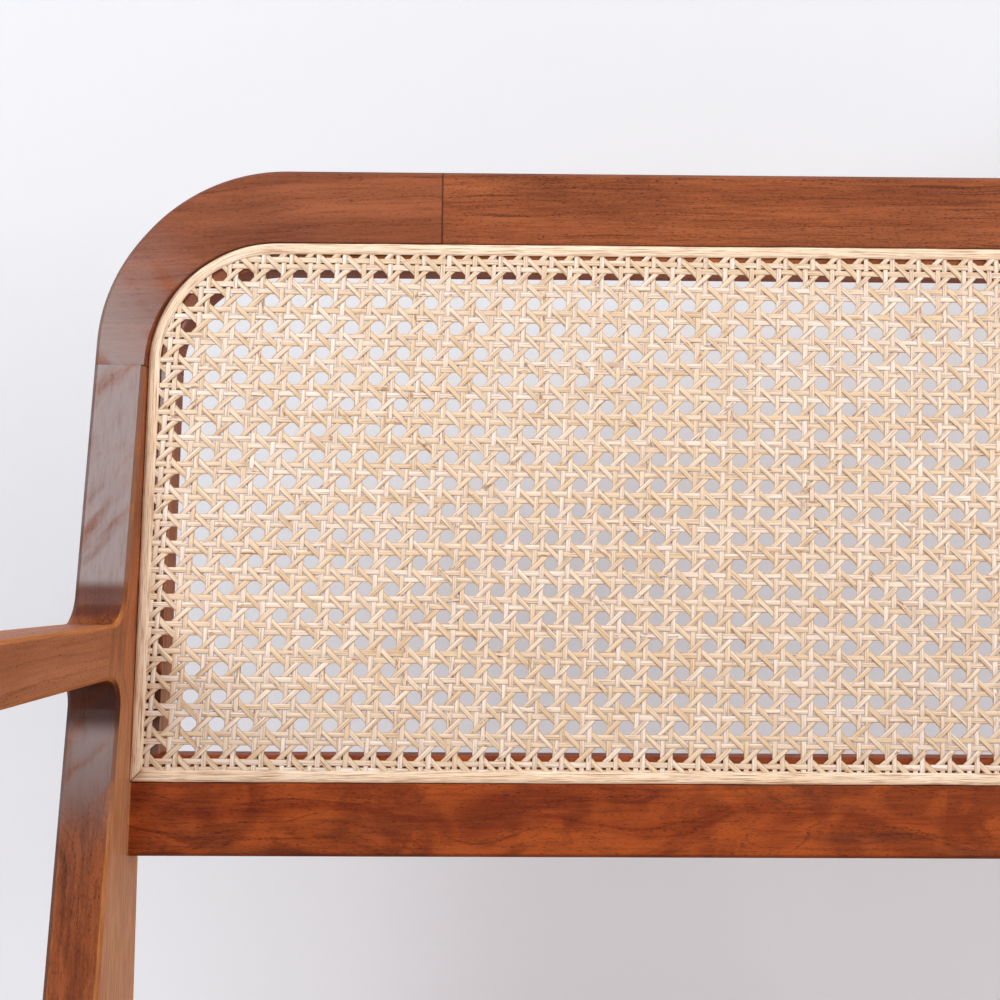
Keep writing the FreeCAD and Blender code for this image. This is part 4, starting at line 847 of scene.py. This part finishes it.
# Each board has its own seed, so that no two have the same figure
LOOKS = {
    "top_rail": teak("teak_top_rail", RIGHT, OUT_BACK, OUT_BACK, 1.0, lines=1.5, figure=0.12,
                     edge_shade_side=OUT_BACK, seams=((RIGHT, rail_end), (LEFT, rail_end))),
    "lower_back_rail": teak("teak_lower_back_rail", RIGHT, OUT_BACK, OUT_BACK, 2.3, lines=0.8,
                            figure=1.5, tones=RED_TONES, edge_shade_side=DOWN_BACK, calm=0.8,
                            ends=((LEFT, HALF_INSIDE), (RIGHT, HALF_INSIDE))),
    "front_seat_rail": teak("teak_front_rail", RIGHT, FORWARD_SEAT, FORWARD_SEAT, 13.5, figure=0.5),
    "rear_seat_rail": teak("teak_rear_rail", RIGHT, FORWARD_SEAT, FORWARD_SEAT, 14.1),
    "seat_corner_blocks": teak("teak_corner_blocks", RIGHT, UPWARD, UPWARD, 17.2),
    "back_joint_tenons": teak("teak_tenons_back", UP_BACK, OUT_BACK, OUT_BACK, 18.4),
    "arm_joint_tenons": teak("teak_tenons_arm", BACKWARD, UPWARD, UPWARD, 19.8),
    "pivot_bolts": brass_look,
    "spacer_washers": brass_look,
    "lower_washers": brass_look,
    "cap_nuts": brass_look,
    "foot_glides": nylon_look,
}
SEEDS = {
    "left": {"corner": 3.1, "post": 5.2, "arm": 7.7, "leg": 9.3, "rail": 11.2, "rest": 15.9},
    "right": {"corner": 4.7, "post": 6.4, "arm": 8.9, "leg": 10.6, "rail": 12.8, "rest": 16.3},
}
for hand, out, inward in (("left", LEFT, RIGHT), ("right", RIGHT, LEFT)):
    seeds = SEEDS[hand]
    LOOKS[f"corner_block_{hand}"] = teak(
        f"teak_corner_{hand}", (1, 0, CORNER_LEAN * inward[0]), OUT_BACK, OUT_BACK, seeds["corner"],
        figure=0.2, polish=0.95, calm=0.7, tones=CORNER_TONES, edge_shade_side=OUT_BACK,
        shine=((CORNER_WAY * out[0], 0, -CORNER_WAY), *CORNER_SHINE),
        seams=((UP_BACK, post_end), (out, rail_end)),
    )
    LOOKS[f"rear_post_{hand}"] = teak(
        f"teak_post_{hand}", UP_BACK, OUT_BACK, RIGHT, seeds["post"], figure=1.1, polish=1.0,
        tones=DARK_TONES, edge_shade_side=out, shade=POST_SHADE, shine=POST_SHINE, painted_light_side=inward, rim_highlight=0.45,
        painted_edge_strength=0.7, seams=((UP_BACK, post_end),),
    )
    LOOKS[f"arm_{hand}"] = teak(
        f"teak_arm_{hand}", ARM_ALONG, RIGHT, UPWARD, seeds["arm"], lines=1.2, figure=0.08,
        tones=ARM_TONES, edge_shade_side=out, calm=0.55, rim_highlight=0.4, painted_edge_strength=0.6, seams=((BACKWARD, arm_end),),
    )
    LOOKS[f"front_leg_{hand}"] = teak(
        f"teak_leg_{hand}", LEG_ALONG, LEG_FACE, RIGHT, seeds["leg"], figure=0.4,
    )
    LOOKS[f"side_rail_{hand}"] = teak(f"teak_side_{hand}", FORWARD_SEAT, RIGHT, RIGHT, seeds["rail"])
    LOOKS[f"leg_rest_{hand}"] = teak(
        f"teak_leg_rest_{hand}", BACKWARD, UPWARD, UPWARD, seeds["rest"], figure=0.5,
    )
for node, look in LOOKS.items():
    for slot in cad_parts[node].material_slots:
        slot.material = look


# The two panels of cane
def in_back(x, up):
    within = (np.abs(x) < BED_EDGE + HIDDEN) & (up > BACK_LOW - HIDDEN) & (up < BACK_HIGH + HIDDEN)
    cx = BED_EDGE - BED_RADIUS
    cy = BACK_HIGH - BED_RADIUS
    corner = (np.abs(x) > cx) & (up > cy)
    round_part = np.hypot(np.abs(x) - cx, up - cy) < BED_RADIUS + HIDDEN
    return within & (~corner | round_part)


def in_seat(x, q):
    wide = np.abs(x) < BED_EDGE + HIDDEN
    return wide & (q > SEAT_REAR_BED - HIDDEN) & (q < SEAT_FRONT_BED + HIDDEN)


back_weave = weave("back_cane", back_point, BACK_HOLE, BACK_SKEW, BACK_SWAY, in_back, BACK_DETAIL)
for piece in back_weave:
    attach(piece, "frame")
    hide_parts("back_cane")
seat_weave = weave("seat_cane", seat_point, SEAT_HOLE, SEAT_SKEW, SEAT_SWAY, in_seat, SEAT_DETAIL)
for piece in seat_weave:
    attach(piece, "frame")
    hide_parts("seat_cane")


# Reed splines: a round-topped strip in its groove, a little narrower than the groove
def spline_piece(name, place, path, seed, nodes):
    """path holds the bed's edge points and the outward direction there."""
    points, outs = path
    outward, above = SPLINE_PROFILE[:, 0], SPLINE_PROFILE[:, 1]
    step = np.hypot(*np.diff(points, axis=0).T)
    along = np.concatenate([[0], np.cumsum(step)])
    wobble = wave(along, seed, *SLOW_WOBBLE) + wave(along, 2 * seed, *QUICK_WOBBLE)
    out = points[:, None, :] + outs[:, None, :] * (outward[None, :, None] + wobble[:, None, None])

    # Mitred ends
    first = (points[1] - points[0]) / step[0]
    last = (points[-1] - points[-2]) / step[-1]
    out[0] -= first * (outward[:, None] - MITRE_START)
    out[-1] += last * (outward[:, None] - MITRE_START)
    rows, ring = out.shape[:2]
    rise = np.broadcast_to(above[None, :], (rows, ring)) + wave(along, seed, *TOP_WOBBLE)[:, None]
    verts = place(out[..., 0], out[..., 1], rise).reshape(-1, 3)
    faces = tube_faces(rows, ring, 0).tolist()
    faces.append(list(range(ring))[::-1])
    faces.append(list(range((rows - 1) * ring, rows * ring)))
    piece = add_mesh(name, verts, faces, strand_marks(along, outward, float(seed)), reed_look)
    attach(piece, "frame")
    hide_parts(*nodes)


def straight(start, end, out):
    """A straight path with its points a little under a step apart."""
    start = np.array(start, dtype=float)
    end = np.array(end, dtype=float)
    count = int(np.hypot(*(end - start)) / SPLINE_STEP) + 2
    t = np.linspace(0, 1, count)[:, None]
    points = start + (end - start) * t
    return points, np.broadcast_to(np.array(out, dtype=float), points.shape)


def arc(centre, begin, end):
    """A corner of the bed between two angles in degrees."""
    turn = np.radians(np.linspace(begin, end, ARC_POINTS))
    outs = np.stack([np.cos(turn), np.sin(turn)], axis=-1)
    return np.array(centre) + BED_RADIUS * outs, outs


def round_back():
    """From the left side's foot, up, over the top and down the right side."""
    cx = BED_EDGE - BED_RADIUS
    cy = BACK_HIGH - BED_RADIUS
    parts = [
        straight((-BED_EDGE, BACK_LOW), (-BED_EDGE, cy), (-1, 0)),
        arc((-cx, cy), 180, 90),
        straight((-cx, BACK_HIGH), (cx, BACK_HIGH), (0, 1)),
        arc((cx, cy), 90, 0),
        straight((BED_EDGE, cy), (BED_EDGE, BACK_LOW), (1, 0)),
    ]
    points = np.concatenate([part[0] for part in parts])
    outs = np.concatenate([part[1] for part in parts])
    new = np.concatenate([[True], np.hypot(*np.diff(points, axis=0).T) > SAME_POINT])
    return points[new], outs[new]


spline_piece("back_reed", back_point, round_back(), 1, ["back_spline"])
low_path = straight((-BED_EDGE, BACK_LOW), (BED_EDGE, BACK_LOW), (0, -1))
spline_piece("back_reed_lower", back_point, low_path, 2, ["back_spline_lower"])
rear_path = straight((-BED_EDGE, SEAT_REAR_BED), (BED_EDGE, SEAT_REAR_BED), (0, -1))
spline_piece("seat_reed_rear", seat_point, rear_path, 3, ["seat_spline_rear"])
front_path = straight((-BED_EDGE, SEAT_FRONT_BED), (BED_EDGE, SEAT_FRONT_BED), (0, 1))
spline_piece("seat_reed_front", seat_point, front_path, 4, ["seat_spline_front"])
left_path = straight((-BED_EDGE, SEAT_REAR_BED), (-BED_EDGE, SEAT_FRONT_BED), (-1, 0))
spline_piece("seat_reed_left", seat_point, left_path, 5, ["seat_spline_left"])
right_path = straight((BED_EDGE, SEAT_REAR_BED), (BED_EDGE, SEAT_FRONT_BED), (1, 0))
spline_piece("seat_reed_right", seat_point, right_path, 6, ["seat_spline_right"])


# Camera at the photograph's viewing angle
camera_data = bpy.data.cameras.new("camera")
camera_data.lens = 39.1
camera_data.sensor_width = 36
camera_data.shift_x = -0.0175
camera = bpy.data.objects.new("camera", camera_data)
camera.location = (-0.11653, -0.16844, 0.71862)
camera.rotation_mode = "XYZ"
YAW = math.radians(-0.539)
ROLLED = math.radians(0.494)
DOWN = math.radians(13.416)
aim = (
    Matrix.Rotation(YAW, 4, "Z")
    @ Matrix.Rotation(math.radians(90) - DOWN, 4, "X")
    @ Matrix.Rotation(ROLLED, 4, "Z")
)
camera.rotation_euler = aim.to_euler("XYZ")
bpy.context.scene.collection.objects.link(camera)
bpy.context.scene.camera = camera

# Backdrop in metres: the wall's distance, the curve at its foot, and the paper's reach and top
WALL = 0.80
FOOT = 0.35
PAPER_REACH = 7.0
PAPER_TOP = 5.0
CURVE_POINTS = 25

# The floor behind the wall lies just below the one in front
REAR_FLOOR = -0.001

# Painted shadow of the chair on the paper, darker low down and to the right; where the paper fades out;
# then its surface
SHADOW_SLOPE = 0.5
SHADOW_LOW_PART = (-0.72, -0.44)
SHADOW_RIGHT_PART = (-0.50, -0.08, 0.35, 1)
FADE = (1.5, 3.0)
PAPER_AND_SHADOW_COLOURS = (linear(237, 237, 240), linear(214, 210, 212))
PAPER_ROUGHNESS = 0.8
PAPER_SPECULAR = 0.15


def paper_look():
    """Paper that shows from its front only, with a painted shadow low down and to the right, and fades out
    a few steps away from the chair.
    """
    n = Nodes("paper")
    x, y, z = n.split(n.place())
    # Painted shadow: the paper is darker low down and to the right
    depth = n.math("MULTIPLY_ADD", x, SHADOW_SLOPE, n.times(z, -1))
    low = n.times(n.ramp(depth, *SHADOW_LOW_PART), n.ramp(x, *SHADOW_RIGHT_PART))
    n.link(n.mix(low, *PAPER_AND_SHADOW_COLOURS), n.shader.inputs["Base Color"])
    n.shader.inputs["Roughness"].default_value = PAPER_ROUGHNESS
    n.shader.inputs["Specular IOR Level"].default_value = PAPER_SPECULAR
    clear = n.tree.nodes.new("ShaderNodeBsdfTransparent")
    blend = n.tree.nodes.new("ShaderNodeMixShader")
    far = n.ramp(n.length(n.place()), *FADE)
    n.link(n.math("MAXIMUM", n.geometry("Backfacing"), far), blend.inputs["Fac"])
    n.link(n.shader.outputs["BSDF"], blend.inputs[1])
    n.link(clear.outputs["BSDF"], blend.inputs[2])
    n.link(blend.outputs[0], n.out.inputs["Surface"])
    return n.material


# Floor that sweeps up into a backdrop
sweep = [(-PAPER_REACH, 0.0)]
for bend in np.linspace(0, math.pi / 2, CURVE_POINTS):
    sweep.append((WALL - FOOT + FOOT * math.sin(bend), FOOT - FOOT * math.cos(bend)))
sweep.append((WALL, PAPER_TOP))
paper_verts = [(x, y, z) for y, z in sweep for x in (-PAPER_REACH, PAPER_REACH)]
paper_faces = [(2 * i, 2 * i + 1, 2 * i + 3, 2 * i + 2) for i in range(len(sweep) - 1)]
rear_first = len(paper_verts)
paper_verts += [
    (-PAPER_REACH, WALL - FOOT, REAR_FLOOR),
    (PAPER_REACH, WALL - FOOT, REAR_FLOOR),
    (PAPER_REACH, PAPER_REACH, REAR_FLOOR),
    (-PAPER_REACH, PAPER_REACH, REAR_FLOOR),
]
paper_faces.append(tuple(range(rear_first, rear_first + 4)))
paper_mesh = bpy.data.meshes.new("paper")
paper_mesh.from_pydata(paper_verts, [], paper_faces)
paper_mesh.polygons.foreach_set("use_smooth", np.arange(len(paper_faces)) < len(sweep) - 1)
paper_mesh.materials.append(paper_look())
paper = bpy.data.objects.new("paper", paper_mesh)
bpy.context.scene.collection.objects.link(paper)

# World: a bright studio to the camera and in reflections, and a soft fill for everything else
STUDIO_LIGHT = (linear(244, 244, 247), 1)
FILL_LIGHT = ((0.95, 0.97, 1, 1), 0.45)
world = bpy.data.worlds.new("studio")
bpy.context.scene.world = world
world.use_nodes = True
tree = world.node_tree
tree.nodes.clear()


def background(colour, strength):
    node = tree.nodes.new("ShaderNodeBackground")
    node.inputs["Color"].default_value = colour
    node.inputs["Strength"].default_value = strength
    return node.outputs[0]


def larger(a, b):
    node = tree.nodes.new("ShaderNodeMath")
    node.operation = "MAXIMUM"
    tree.links.new(a, node.inputs[0])
    tree.links.new(b, node.inputs[1])
    return node.outputs[0]


ray = tree.nodes.new("ShaderNodeLightPath").outputs
mirrored = larger(ray["Is Glossy Ray"], ray["Is Transmission Ray"])
world_blend = tree.nodes.new("ShaderNodeMixShader")
tree.links.new(larger(ray["Is Camera Ray"], mirrored), world_blend.inputs["Fac"])
tree.links.new(background(*FILL_LIGHT), world_blend.inputs[1])
tree.links.new(background(*STUDIO_LIGHT), world_blend.inputs[2])
world_out = tree.nodes.new("ShaderNodeOutputWorld")
tree.links.new(world_blend.outputs[0], world_out.inputs["Surface"])


def lamp(name, place, target, width, height, power, colour=(1, 1, 1)):
    """A square lamp at a place, turned to its target."""
    data = bpy.data.lights.new(name, "AREA")
    data.shape = "RECTANGLE"
    data.size = width
    data.size_y = height
    data.energy = power
    data.color = colour
    holder = bpy.data.objects.new(name, data)
    holder.location = place
    holder.rotation_mode = "QUATERNION"
    holder.rotation_quaternion = (Vector(target) - Vector(place)).to_track_quat("-Z", "Y")
    bpy.context.scene.collection.objects.link(holder)


lamp("window", (-1.48, -1.26, 2.16), (-0.3, 0.25, 0.55), 1.8, 1.75, 37, (0.96, 0.985, 1))
lamp("right", (1.9, -1.5, 1.5), (-0.1, 0.3, 0.5), 1.6, 1.6, 30, (1, 0.99, 0.97))
lamp("paper_light", (0.4, 0.0, 3.0), (0.3, 0.8, 1.2), 2.4, 0.8, 15)

bpy.context.scene.view_settings.view_transform = "Standard"
